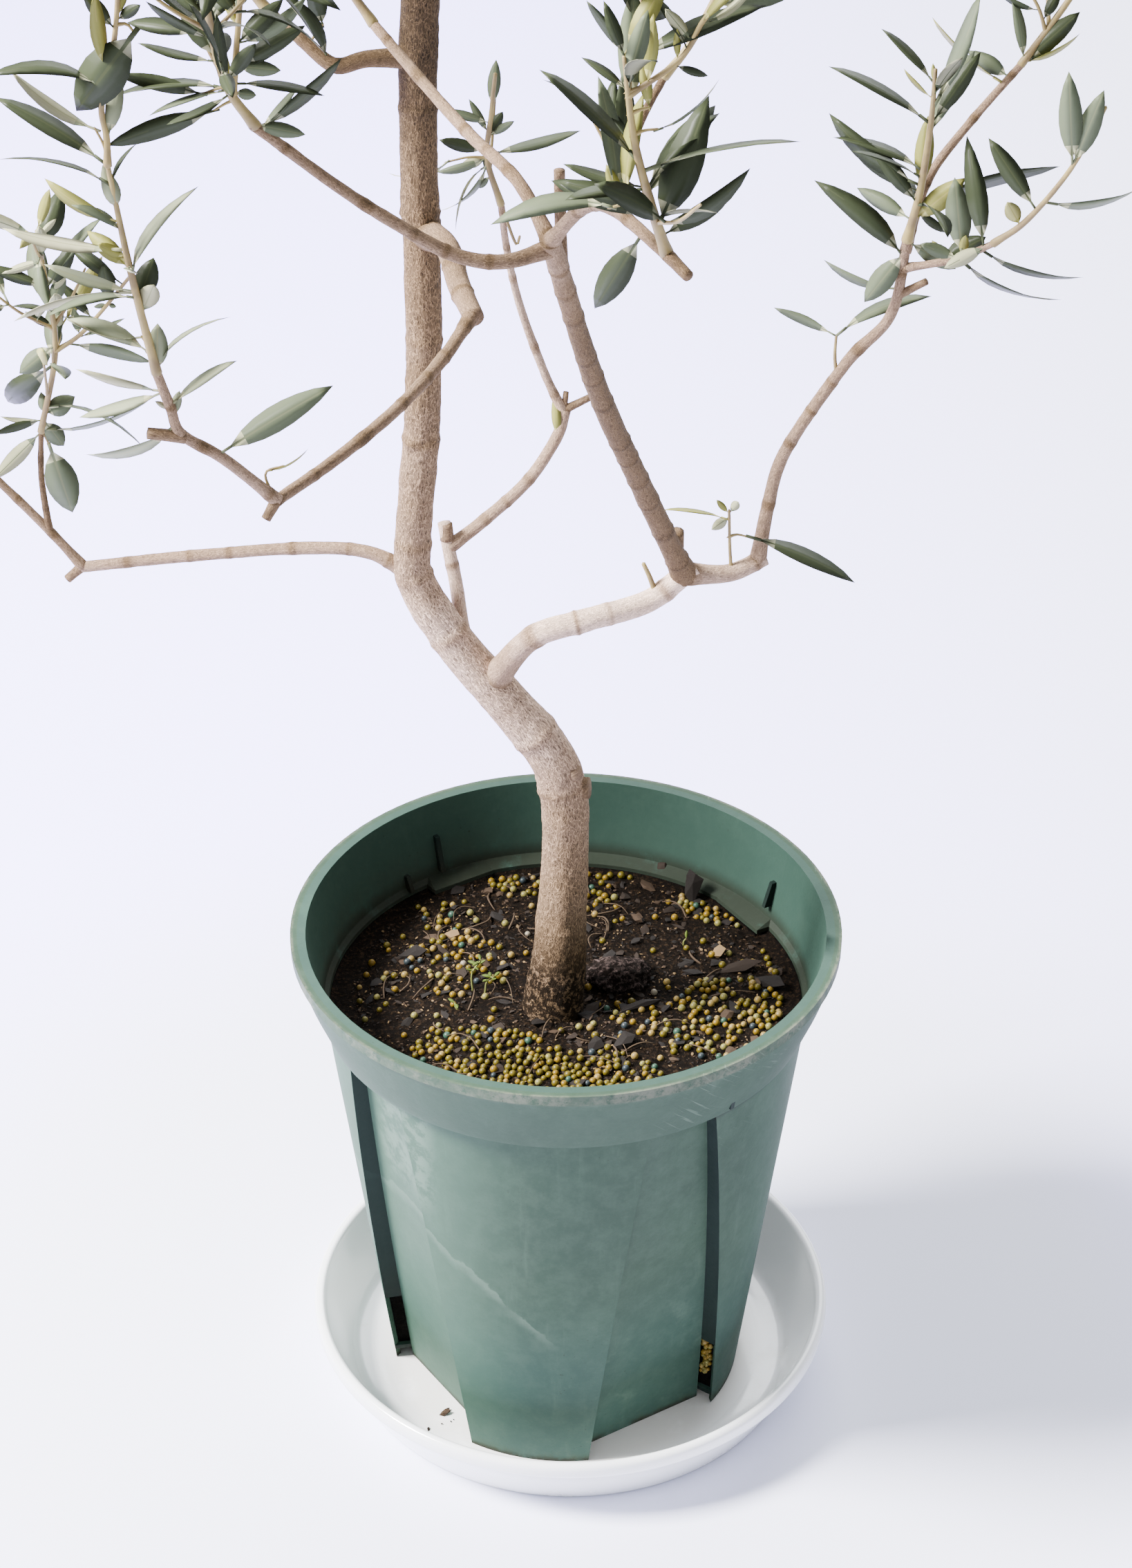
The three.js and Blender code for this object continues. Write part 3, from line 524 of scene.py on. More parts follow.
def unit(direction: np.ndarray) -> np.ndarray:
    """Return a direction scaled to length 1."""
    return direction / np.linalg.norm(direction)


def lerp(first: Any, second: Any, share: float) -> Any:
    """Return the value that lies at a share of the way between two values."""
    return first + (second - first) * share


def clamp(value: float, least: float, most: float) -> float:
    """Return a value kept between two limits."""
    return max(least, min(most, value))


def turned(direction: np.ndarray, axis: np.ndarray, angle: float) -> np.ndarray:
    """Return a direction turned round an axis.

    Args:
        direction: The direction to turn.
        axis: The axis, of length 1.
        angle: The angle in radians.

    Returns:
        The turned direction.
    """
    cos, sin = math.cos(angle), math.sin(angle)
    along = axis * float(axis @ direction) * (1 - cos)
    return direction * cos + np.cross(axis, direction) * sin + along


def noise_at(point: np.ndarray, scale: float) -> float:
    """Return smooth noise from about -1 to 1 at a point in millimetres."""
    return noise.noise(Vector((point * scale).tolist()))


def stream_of(seed: int) -> Callable[[], float]:
    """Return a repeatable stream of even numbers from 0 to 1, as the part's source draws them.

    Args:
        seed: The seed.

    Returns:
        A function that returns the next number.
    """
    full = 0xFFFFFFFF
    state = [seed * STREAM_STEP & full]

    def draw() -> float:
        """Return the next number of the stream.

        Returns:
            The number, from 0 to 1.
        """
        state[0] = (state[0] + 0x6D2B79F5) & full
        mixed = ((state[0] ^ (state[0] >> 15)) * (1 | state[0])) & full
        mixed = (mixed + ((mixed ^ (mixed >> 7)) * (61 | mixed) & full) & full) ^ mixed
        return ((mixed ^ (mixed >> 14)) & full) / 4294967296

    return draw


@dataclass
class Shape:
    """Corners and faces that are gathered into one mesh, with values kept for each corner."""

    corners: list[np.ndarray] = field(default_factory=list)
    faces: list[tuple[int, ...]] = field(default_factory=list)
    dress: Sequence[int] = ()
    space: list[np.ndarray] = field(default_factory=list)
    tones: list[float] = field(default_factory=list)

    def add(self, corners: Sequence[np.ndarray], space: Iterable[np.ndarray] = (),
            tone: float = 0.5) -> int:
        """Add corners.

        Args:
            corners: The corners in millimetres.
            space: For each corner, its place along and round its limb.
            tone: How pale the bark is there.

        Returns:
            The number of the first new corner.
        """
        first = len(self.corners)
        self.corners.extend(corners)
        self.space.extend(space)
        self.tones.extend([tone] * len(corners))
        return first

    def face(self, *numbers: int) -> None:
        """Add a face whose corners run counter-clockwise, seen from outside."""
        self.faces.append(numbers)

    def stack(self, starts: Sequence[int], count: int) -> None:
        """Join rings of corners with quads, each to the next one.

        Args:
            starts: The first corner of each ring, from the lowest up.
            count: The number of corners in a ring.
        """
        for lower, upper in zip(starts, starts[1:]):
            for k in range(count):
                after = (k + 1) % count
                self.face(lower + k, lower + after, upper + after, upper + k)

    def close(self, starts: Sequence[int], count: int, foot: np.ndarray, head: np.ndarray) -> None:
        """Close both ends of a stack of rings.

        Args:
            starts: The first corner of each ring, from the lowest up.
            count: The number of corners in a ring.
            foot: The middle of the lower end.
            head: The middle of the upper end.
        """
        under, over = (self.add([middle], self.space[ring:ring + 1], self.tones[ring])
                       for ring, middle in ((starts[0], foot), (starts[-1], head)))
        for k in range(count):
            after = (k + 1) % count
            self.face(starts[0] + after, starts[0] + k, under)
            self.face(starts[-1] + k, starts[-1] + after, over)

    def mesh(self, name: str) -> bpy.types.Mesh:
        """Return the mesh, in metres.

        Args:
            name: Its name.

        Returns:
            The mesh, smooth-shaded.
        """
        mesh = bpy.data.meshes.new(name)
        mesh.from_pydata([tuple(corner * MM) for corner in self.corners], [], self.faces)
        if self.dress:
            mesh.polygons.foreach_set("material_index", self.dress)
        mesh.polygons.foreach_set("use_smooth", [True] * len(self.faces))
        if self.space:
            attribute = mesh.attributes.new("limb_space", "FLOAT_VECTOR", "POINT")
            attribute.data.foreach_set("vector", np.array(self.space).ravel() * MM)
            tone = mesh.attributes.new("tone", "FLOAT", "POINT")
            tone.data.foreach_set("value", self.tones)
        mesh.update()
        return mesh


def put(name: str, mesh: bpy.types.Mesh, *materials: bpy.types.Material) -> bpy.types.Object:
    """Place a mesh in the scene.

    Args:
        name: The object's name.
        mesh: Its mesh.
        materials: Its materials, in the order of their numbers.

    Returns:
        The object, at the origin.
    """
    piece = bpy.data.objects.new(name, mesh)
    bpy.context.scene.collection.objects.link(piece)
    if materials:
        mesh.materials.clear()
    for material in materials:
        mesh.materials.append(material)
    return piece


def settle(piece: bpy.types.Object) -> None:
    """Turn an object with modifiers into a plain mesh.

    Args:
        piece: The object.
    """
    depsgraph = bpy.context.evaluated_depsgraph_get()
    made = bpy.data.meshes.new_from_object(piece.evaluated_get(depsgraph), depsgraph=depsgraph)
    piece.modifiers.clear()
    old = piece.data
    piece.data = made
    bpy.data.meshes.remove(old)


def mount(piece: bpy.types.Object, slot: str, *nodes: str) -> None:
    """Make a piece ride on the body and hide the nodes that it stands for.

    Args:
        piece: The piece.
        slot: The record's material slot; not used.
        nodes: The nodes that it replaces.
    """
    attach(piece, BODY)
    if nodes:
        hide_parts(*nodes)
    LOG.info("%s: %d faces", piece.name, len(piece.data.polygons))


@contextmanager
def editing(mesh: bpy.types.Mesh) -> Iterator[bmesh.types.BMesh]:
    """Open a mesh for editing and write it back at the end.

    Args:
        mesh: The mesh.

    Yields:
        The mesh in the form in which it is edited.
    """
    edited = bmesh.new()
    edited.from_mesh(mesh)
    yield edited
    edited.to_mesh(mesh)
    edited.free()


def shade_by_angle(piece: bpy.types.Object, degrees: float) -> None:
    """Shade a piece smooth, with its sharper edges kept crisp.

    Args:
        piece: The piece.
        degrees: The angle from which an edge stays crisp.
    """
    limit = math.radians(degrees)
    with editing(piece.data) as mesh:
        for face in mesh.faces:
            face.smooth = True
        for edge in mesh.edges:
            edge.smooth = len(edge.link_faces) == 2 and edge.calc_face_angle(0.0) < limit


# Limbs


LIMB_STEP = 1.9  # between the rings of a fine limb
NEARLY_UPRIGHT = 0.9  # the rise of a unit direction from which +X is its reference
STREAM_STEP = 7919  # spreads the seeds apart
PATTERN_SHIFT = vec(37.0, 11.0, 53.0)  # sets the relief of one limb apart from the next
BARK_STRETCH = vec(1.0, 1.0, 0.3)  # draws the ridges out along the limb
GIRTH_WAVES = 0.045  # waves of each pattern for a millimetre
SCAR_WAVES = 0.16
FURROW_WAVES = 0.33
RIDGE_WAVES = 0.52
BUMP_WAVES = 0.21


def heading(bearing: float, rise: float) -> np.ndarray:
    """Return the direction of a bearing from +X towards +Y and a rise, in degrees."""
    turn, lift = math.radians(bearing), math.radians(rise)
    return vec(math.cos(lift) * math.cos(turn), math.cos(lift) * math.sin(turn), math.sin(lift))


def square_to(along: np.ndarray, turn: float) -> np.ndarray:
    """Return a direction square to another one, turned round it from the upper side."""
    reference = vec(1, 0, 0) if abs(along[2]) > NEARLY_UPRIGHT else vec(0, 0, 1)
    return turned(unit(np.cross(along, reference)), along, turn)


def smooth_run(corners: np.ndarray, steps: int) -> np.ndarray:
    """Return a smooth run of rows through all corners.

    Args:
        corners: The rows to pass through.
        steps: The number of steps between two of them.

    Returns:
        The rows of the run.
    """
    ends = np.vstack([2 * corners[0] - corners[1], corners, 2 * corners[-1] - corners[-2]])
    rows = [corners[0]]
    for i in range(1, len(ends) - 2):
        before, start, end, after = ends[i - 1:i + 3]
        for step in range(1, steps + 1):
            t = step / steps
            bend = 2 * before - 5 * start + 4 * end - after
            rows.append(0.5 * (2 * start + (end - before) * t + bend * t**2
                               + (3 * start - before - 3 * end + after) * t**3))
    return np.array(rows)


def corners_of(start: np.ndarray, legs: Sequence[Sequence[float]]) -> np.ndarray:
    """Return the corners of a route that is given by the bearing, rise and length of its legs.

    Args:
        start: The first corner.
        legs: The legs, in degrees and millimetres.

    Returns:
        The corners.
    """
    corners = [start]
    for leg in legs:
        corners.append(corners[-1] + heading(leg[0], leg[1]) * leg[2])
    return np.array(corners)


def length_of(route: np.ndarray) -> float:
    """Return the length of a route."""
    return float(np.linalg.norm(np.diff(route, axis=0), axis=1).sum())


def place_at(route: np.ndarray, distance: float) -> tuple[np.ndarray, np.ndarray]:
    """Find a place on a route.

    Args:
        route: The route's points.
        distance: The distance along it.

    Returns:
        The point and the direction there.
    """
    left = distance
    for i in range(1, len(route)):
        run = float(np.linalg.norm(route[i] - route[i - 1]))
        if left <= run or i == len(route) - 1:
            along = (route[i] - route[i - 1]) / run
            return route[i - 1] + along * min(left, run), along
        left -= run
    raise ValueError("a route needs two points")


def gaps_to(start: np.ndarray, end: np.ndarray, starts: np.ndarray, ends: np.ndarray) -> np.ndarray:
    """Return the shortest distances between one straight run and several others.

    Args:
        start: The run's start.
        end: The run's end.
        starts: The starts of the others, one a row.
        ends: Their ends.

    Returns:
        The distances.
    """
    first, second, offset = end - start, ends - starts, start - starts
    aa = max(float(first @ first), 1e-9)
    ee = np.maximum((second * second).sum(1), 1e-9)
    f = (second * offset).sum(1)
    dot = second @ first
    to_first = offset @ first
    spread = aa * ee - dot * dot
    safe = np.maximum(spread, 1e-9)
    s = np.where(spread > 1e-9, np.clip((dot * f - to_first * ee) / safe, 0, 1), 0)
    t = np.clip((dot * s + f) / ee, 0, 1)
    s = np.clip((dot * t - to_first) / aa, 0, 1)
    near = start + first * s[:, None]
    return np.linalg.norm(near - (starts + second * t[:, None]), axis=1)


@dataclass
class Limb:
    """A tapering limb: a coarse route as in the part's source, and a fine one for its mesh."""

    coarse: np.ndarray
    radii: np.ndarray
    fine: np.ndarray
    fine_radii: np.ndarray

    @classmethod
    def through(cls, corners: np.ndarray, radii: Sequence[float], steps: int = 2) -> "Limb":
        """Lay a limb through its corners.

        Args:
            corners: The corners of its route.
            radii: The radius at each corner.
            steps: The steps between two corners of the coarse route.

        Returns:
            The limb.
        """
        rows = np.column_stack([corners, radii])
        coarse = smooth_run(rows, steps)
        longest = float(np.linalg.norm(np.diff(corners, axis=0), axis=1).max())
        fine = smooth_run(rows, max(3, math.ceil(longest / LIMB_STEP)))
        return cls(coarse[:, :3], coarse[:, 3], *cls._evened(fine))

    @staticmethod
    def _evened(rows: np.ndarray) -> tuple[np.ndarray, np.ndarray]:
        """Space the rows of a fine route evenly.

        Args:
            rows: Points and radii.

        Returns:
            The points and the radii.
        """
        runs = np.linalg.norm(np.diff(rows[:, :3], axis=0), axis=1)
        marks = np.concatenate([[0], np.cumsum(runs)])
        count = max(4, round(marks[-1] / LIMB_STEP))
        even = np.linspace(0, marks[-1], count + 1)
        points = np.column_stack([np.interp(even, marks, rows[:, k]) for k in range(3)])
        return points, np.interp(even, marks, rows[:, 3])

    def nearest_to(self, eye: np.ndarray, ray: np.ndarray) -> np.ndarray:
        """Return the point of the limb that lies closest to a line of sight.

        Args:
            eye: The camera's place.
            ray: The direction of sight.

        Returns:
            The point on the limb's axis.
        """
        offset = self.fine - eye
        along = offset @ ray
        gaps = np.linalg.norm(offset - along[:, None] * ray, axis=1)
        return self.fine[int(np.argmin(gaps))]


@dataclass
class Wood:
    """How a limb's mesh is made: its sides, the depth of its relief and its irregular girth."""

    sides: int
    relief: float = 0.0
    girth: float = 0.0
    collar: float = 0.0
    collar_at: float = 0.0
    collar_fade: float = 9.0
    blunt: float = 0.0
    tones: Sequence[Pair] = ((0.0, 0.5),)
    scars: Sequence[Pair] = ()
    scar_width: float = 2.2
    node_spacing: float = 0.0
    node_width: float = 1.7
    node_rise: float = 0.09

    def build(self, shape: Shape, limb: Limb, seed: float) -> None:
        """Add a limb's closed tube to a shape.

        Args:
            shape: The shape that gathers the limbs.
            limb: The limb.
            seed: Moves the pattern of the relief, so that no two limbs are alike.
        """
        route, radii = limb.fine, limb.fine_radii
        last = len(route) - 1
        heights, tones = zip(*self.tones)
        side = square_to(unit(route[1] - route[0]), 0.0)
        walked = 0.0
        starts: list[int] = []
        for i, (point, base) in enumerate(zip(route, radii)):
            along = unit(route[min(i + 1, last)] - route[max(i - 1, 0)])
            side = unit(side - along * float(side @ along))
            lift = np.cross(along, side)
            walked += float(np.linalg.norm(point - route[i - 1])) if i else 0.0
            radius = base * self._swelling(walked, seed)
            scar = sum(rise * math.exp(-(((point[2] - height) / self.scar_width) ** 2))
                       for height, rise in self.scars)
            node = self._node(walked, seed)
            radius += scar + self.node_rise * base * node
            ring, space = [], []
            for k in range(self.sides):
                angle = TURN * k / self.sides
                out = side * math.cos(angle) + lift * math.sin(angle)
                round_place = vec(base * math.cos(angle), base * math.sin(angle), walked)
                local = round_place + seed * PATTERN_SHIFT
                reach = radius * (1 + self.girth * noise_at(local, GIRTH_WAVES)) + self._bark(local)
                reach += scar * 1.6 * noise_at(local, SCAR_WAVES)
                ring.append(point + out * reach)
                space.append(local)
            tone = float(np.interp(point[2], heights, tones)) - 0.22 * node - 0.09 * abs(scar)
            starts.append(shape.add(ring, space, tone))
        shape.stack(starts, self.sides)
        foot = route[0] + (route[0] - route[1])
        shape.close(starts, self.sides, foot, route[-1] + (route[-1] - route[-2]) * self.blunt)

    def _node(self, walked: float, seed: float) -> float:
        """Return how near a place is to one of the nodes at which leaves once stood, from 0 to 1.

        Args:
            walked: The distance from the limb's foot.
            seed: The limb's own number, which moves the pattern.

        Returns:
            The share.
        """
        if not self.node_spacing:
            return 0.0
        shift = self.node_spacing * noise.noise(Vector((walked * 0.02, seed * 5.1, 3.3)))
        off = (walked + shift) % self.node_spacing - self.node_spacing / 2
        return math.exp(-((off / self.node_width) ** 2))

    def _swelling(self, walked: float, seed: float) -> float:
        """Return how much thicker the limb is at a distance from its foot.

        Args:
            walked: The distance from the limb's foot.
            seed: The limb's own number, which moves the pattern.

        Returns:
            The factor.
        """
        knots = 0.07 * max(0.0, noise.noise(Vector((walked * 0.09, seed * 3.7, 0.5))) - 0.12)
        if not self.collar:
            return 1 + knots
        past = max(0.0, walked - self.collar_at)
        return 1 + knots + self.collar * math.exp(-((past / self.collar_fade) ** 1.5))

    def _bark(self, local: np.ndarray) -> float:
        """Return the height of the bark's ridges and bumps at a place on the limb.

        Args:
            local: The place round and along the limb.

        Returns:
            The height.
        """
        if not self.relief:
            return 0.0
        long = local * BARK_STRETCH
        wave = noise_at(long, FURROW_WAVES)
        ridge = 1 - abs(noise_at(long + 91.0, RIDGE_WAVES)) * 2.4
        bump = max(0.0, noise_at(local + 17.0, BUMP_WAVES) - 0.34)
        return self.relief * (0.55 * wave + 0.5 * max(0.0, ridge) + 1.7 * bump)


@dataclass(frozen=True)
class BoughPlan:
    """A bough of the part's source.

    The name, the limb that carries it, the distance along that limb, the radii at foot and tip,
    and the bearing, rise and length of its legs.
    """

    name: str
    carrier: str
    distance: float
    foot: float
    tip: float
    legs: tuple[Leg, ...]


@dataclass(frozen=True)
class MassPlan:
    """A mass of foliage of the part's source: name, bough, reach, seed and legs of its stem."""

    name: str
    carrier: str
    reach: float
    seed: int
    legs: tuple[Leg, ...]


TRUNK_LEGS: tuple[TrunkLeg, ...] = (
    (40, 84, 16, 16.2), (30, 85, 34, 13.8), (0, 87, 52, 12.3), (180, 88, 44, 12.4), (174, 70, 28, 12),
    (175, 53, 72, 10.6), (172, 60, 43, 9.5), (147, 86, 26, 9.1), (28, 84, 59, 8.8), (42, 87, 61, 8.8),
    (101, 88, 93, 9), (52, 87, 68, 9.1), (13, 84, 124, 8), (-27, 82, 126, 6.4), (45, 86, 115, 4.8),
    (27, 85, 110, 2.8),
)
BOUGHS: tuple[BoughPlan, ...] = (
    BoughPlan("bough_right", "trunk", 229, 6.2, 5.6,
              ((-36, 44, 47), (0, 21, 30), (18, 9, 33), (15, 36, 29))),
    BoughPlan("bough_right_front", "bough_right", 137, 5.6, 4.4,
              ((-114, 50, 80), (-109, 51, 108), (-106, 52, 68), (-103, 52, 109))),
    BoughPlan("bough_right_low", "bough_right", 137, 4.6, 4.2, ((11, -13, 21), (18, 17, 20))),
    BoughPlan("bough_right_rise", "bough_right_low", 40, 3.6, 2.4,
              ((10, 87, 30), (0, 76, 33), (-8, 61, 58), (-11, 54, 35), (-36, 81, 43))),
    BoughPlan("bough_right_side", "bough_right_rise", 184, 2, 1.5, ((-25, 18, 28), (-31, 34, 24))),
    BoughPlan("bough_right_top", "bough_right_rise", 193, 2.4, 1.8,
              ((42, 68, 34), (20, 53, 30), (24, 44, 41))),
    BoughPlan("bough_left", "trunk", 299, 3.6, 2.8,
              ((171, 15, 23), (167, -3, 35), (172, -9, 61), (172, -11, 59))),
    BoughPlan("bough_left_rise", "bough_left", 179, 2.6, 1.8,
              ((167, 51, 26), (166, 45, 35), (169, 45, 29))),
    BoughPlan("bough_left_shoot", "bough_left_rise", 27, 1.7, 1.4, ((176, 89, 30), (-38, 84, 29))),
    BoughPlan("bough_back_foot", "trunk", 250, 3.6, 3.4,
              ((89, 48, 28), (120, 68, 18), (127, 74, 18))),
    BoughPlan("bough_back", "bough_back_foot", 53, 3.2, 3,
              ((25, 21, 20), (19, 38, 32), (15, 56, 28), (25, 72, 16))),
    BoughPlan("bough_back_rise", "bough_back", 96, 2.4, 1.6,
              ((170, 62, 22), (180, 72, 39), (-147, 77, 34), (-124, 80, 29))),
    BoughPlan("bough_knee", "trunk", 489, 6.2, 5, ((-60, -10, 27), (-74, -24, 23), (-73, -11, 27))),
    BoughPlan("bough_knee_front", "bough_knee", 78, 3.2, 2.6,
              ((-112, -6, 38), (-114, -3, 49), (-118, 0, 52), (-118, 4, 50))),
    BoughPlan("bough_knee_left", "bough_knee_front", 190, 2.6, 2,
              ((-155, 49, 34), (-163, 40, 23), (-153, 73, 15), (-157, 74, 19))),
    BoughPlan("bough_left_high", "trunk", 577, 4.2, 3,
              ((-159, -9, 26), (-166, -5, 16), (154, 31, 22), (147, 21, 16))),
    BoughPlan("bough_front_left", "bough_right_front", 360, 3.4, 2.2,
              ((-159, -11, 22), (-177, 11, 21), (-173, 33, 28), (-171, 38, 31), (-162, 43, 45))),
    BoughPlan("bough_front_mid", "bough_right_front", 366, 3, 2.2,
              ((119, 28, 32), (119, 6, 46), (120, 12, 50), (123, 17, 35))),
    BoughPlan("bough_front_right", "bough_right_front", 366, 3, 2.4,
              ((-63, 41, 40), (-70, 22, 39), (-62, -2, 44))),
    BoughPlan("bough_front_right_rise", "bough_front_right", 78, 2, 1.5,
              ((-66, 72, 21), (0, 70, 23), (12, 62, 20))),
    BoughPlan("bough_high_right", "trunk", 655, 4.6, 2.4,
              ((12, 32, 80), (20, 44, 90), (14, 54, 60))),
    BoughPlan("bough_high_back", "trunk", 640, 4.6, 2.4,
              ((95, 28, 80), (84, 38, 90), (92, 50, 55))),
    BoughPlan("bough_high_back_left", "trunk", 705, 4.4, 2.4,
              ((148, 32, 80), (160, 44, 80), (150, 54, 50))),
    BoughPlan("bough_high_front", "trunk", 755, 4.2, 2.2,
              ((-72, 34, 75), (-86, 44, 75), (-78, 54, 45))),
    BoughPlan("bough_high_left", "trunk", 795, 4, 2.2,
              ((196, 36, 75), (188, 46, 75), (194, 56, 45))),
    BoughPlan("bough_high_back_right", "trunk", 815, 4, 2.2,
              ((48, 36, 75), (58, 46, 75), (50, 56, 45))),
    BoughPlan("bough_top_right", "trunk", 885, 3.4, 2, ((-14, 36, 62), (-6, 46, 62))),
    BoughPlan("bough_top_left", "trunk", 930, 3, 1.9, ((166, 36, 58), (174, 46, 56))),
    BoughPlan("bough_top_front", "trunk", 960, 2.8, 1.8, ((-112, 38, 50), (-104, 48, 50))),
    BoughPlan("bough_top_back", "trunk", 990, 2.6, 1.8, ((82, 38, 48), (90, 48, 48))),
)
MASSES: tuple[MassPlan, ...] = (
    MassPlan("foliage_tip", "trunk", 74, 33, ((27, 84, 30), (120, 82, 36), (60, 84, 34))),
    MassPlan("foliage_left_low", "bough_left_shoot", 50, 11,
             ((-19, 76, 50), (-126, 86, 40), (-130, 84, 27))),
    MassPlan("foliage_left_far", "bough_left_rise", 80, 12,
             ((162, 52, 44), (146, 67, 45), (110, 76, 50))),
    MassPlan("foliage_front_left", "bough_front_left", 68, 14,
             ((-150, 60, 24), (-110, 70, 36), (-90, 76, 34))),
    MassPlan("foliage_knee_left", "bough_knee_left", 56, 13, ((-129, 78, 50), (-126, 80, 52))),
    MassPlan("foliage_left_high", "bough_left_high", 82, 15,
             ((166, 53, 26), (170, 68, 31), (176, 72, 30))),
    MassPlan("foliage_front_mid", "bough_front_mid", 78, 16,
             ((158, 55, 24), (149, 72, 31), (140, 76, 30))),
    MassPlan("foliage_back", "bough_back_rise", 46, 17,
             ((-166, 75, 26), (-41, 83, 24), (-42, 82, 22))),
    MassPlan("foliage_front_right", "bough_front_right", 66, 18,
             ((-121, 63, 27), (-135, 72, 33), (-126, 79, 36))),
    MassPlan("foliage_front_right_rise", "bough_front_right_rise", 70, 19,
             ((9, 53, 19), (27, 60, 30), (30, 66, 30))),
    MassPlan("foliage_right", "bough_right_rise", 62, 20,
             ((-26, 79, 27), (-35, 84, 34), (-77, 85, 30))),
    MassPlan("foliage_right_side", "bough_right_side", 60, 21,
             ((-23, 44, 22), (-19, 57, 34), (-25, 67, 36))),
    MassPlan("foliage_right_top", "bough_right_top", 78, 22,
             ((17, 53, 34), (18, 57, 35), (14, 66, 40))),
    MassPlan("foliage_high_right", "bough_high_right", 98, 23, ((18, 52, 50), (8, 62, 60))),
    MassPlan("foliage_high_back", "bough_high_back", 98, 24, ((86, 50, 50), (98, 60, 60))),
    MassPlan("foliage_high_back_left", "bough_high_back_left", 96, 25,
             ((156, 54, 50), (146, 64, 56))),
    MassPlan("foliage_high_front", "bough_high_front", 94, 26, ((-84, 54, 48), (-74, 64, 54))),
    MassPlan("foliage_high_left", "bough_high_left", 94, 27, ((190, 56, 46), (200, 66, 52))),
    MassPlan("foliage_high_back_right", "bough_high_back_right", 94, 28,
             ((54, 56, 46), (44, 66, 52))),
    MassPlan("foliage_top_right", "bough_top_right", 84, 29, ((-10, 52, 40), (2, 62, 46))),
    MassPlan("foliage_top_left", "bough_top_left", 80, 30, ((170, 50, 38), (182, 62, 42))),
    MassPlan("foliage_top_front", "bough_top_front", 76, 31, ((-108, 50, 36), (-96, 62, 40))),
    MassPlan("foliage_top_back", "bough_top_back", 76, 32, ((86, 50, 36), (96, 62, 40))),
)


# The camera and the studio


@dataclass(frozen=True)
class Viewpoint:
    """The camera, worked out from the pot's rim and foot and the saucer in the photograph."""

    place: Colour = (0.0, -1.616, 1.471)
    tilt: float = 56.32
    lens: float = 84.13
    sensor: float = 36.0
    width: int = 1638
    height: int = 2268

    def build(self) -> None:
        """Place the camera."""
        data = bpy.data.cameras.new("camera")
        data.lens = self.lens
        data.sensor_width = self.sensor
        camera = bpy.data.objects.new("camera", data)
        camera.location = self.place
        camera.rotation_euler = (math.radians(self.tilt), 0.0, 0.0)
        bpy.context.scene.collection.objects.link(camera)
        bpy.context.scene.camera = camera

    @property
    def eye(self) -> np.ndarray:
        """The camera's place in millimetres."""
        return vec(*self.place) / MM

    @property
    def focal(self) -> float:
        """The distance of the picture's plane, in pixels."""
        return self.lens / self.sensor * self.height

    def ray(self, pixel: Pair) -> np.ndarray:
        """Return the line of sight through a pixel of the photograph.

        Args:
            pixel: The pixel, from the upper left corner.

        Returns:
            The direction, of length 1.
        """
        x, y = (pixel[0] - self.width / 2) / self.focal, (self.height / 2 - pixel[1]) / self.focal
        cos, sin = math.cos(math.radians(self.tilt)), math.sin(math.radians(self.tilt))
        return unit(vec(x, y * cos + sin, y * sin - cos))

    def pixel_of(self, point: np.ndarray) -> np.ndarray:
        """Return the pixel of the photograph at which a point shows.

        Args:
            point: The point in millimetres.

        Returns:
            The pixel, from the upper left corner.
        """
        cos, sin = math.cos(math.radians(self.tilt)), math.sin(math.radians(self.tilt))
        x, y, z = point - self.eye
        up, deep = y * cos + z * sin, y * sin - z * cos
        return vec(self.width / 2 + self.focal * x / deep, self.height / 2 - self.focal * up / deep)

    def at_depth(self, pixel: Pair, depth: float) -> np.ndarray:
        """Return the point behind a pixel on the upright plane at a depth, in millimetres."""
        ray = self.ray(pixel)
        return self.eye + ray * (depth - self.eye[1]) / ray[1]

    def on_level(self, pixel: Pair, level: float) -> np.ndarray:
        """Return the point behind a pixel at a height, in millimetres."""
        ray = self.ray(pixel)
        return self.eye + ray * (level - self.eye[2]) / ray[2]


@dataclass(frozen=True)
class Lamp:
    """A square soft light that looks at a point."""

    name: str
    place: Colour
    target: Colour
    size: float
    power: float
    tint: Colour = (1.0, 1.0, 1.0)

    def build(self) -> None:
        """Place the light."""
        data = bpy.data.lights.new(self.name, "AREA")
        data.size = self.size
        data.energy = self.power
        data.color = self.tint
        lamp = bpy.data.objects.new(self.name, data)
        lamp.visible_camera = False
        lamp.location = self.place
        aim = Vector(self.target) - Vector(self.place)
        lamp.rotation_euler = aim.to_track_quat("-Z", "Y").to_euler()
        bpy.context.scene.collection.objects.link(lamp)


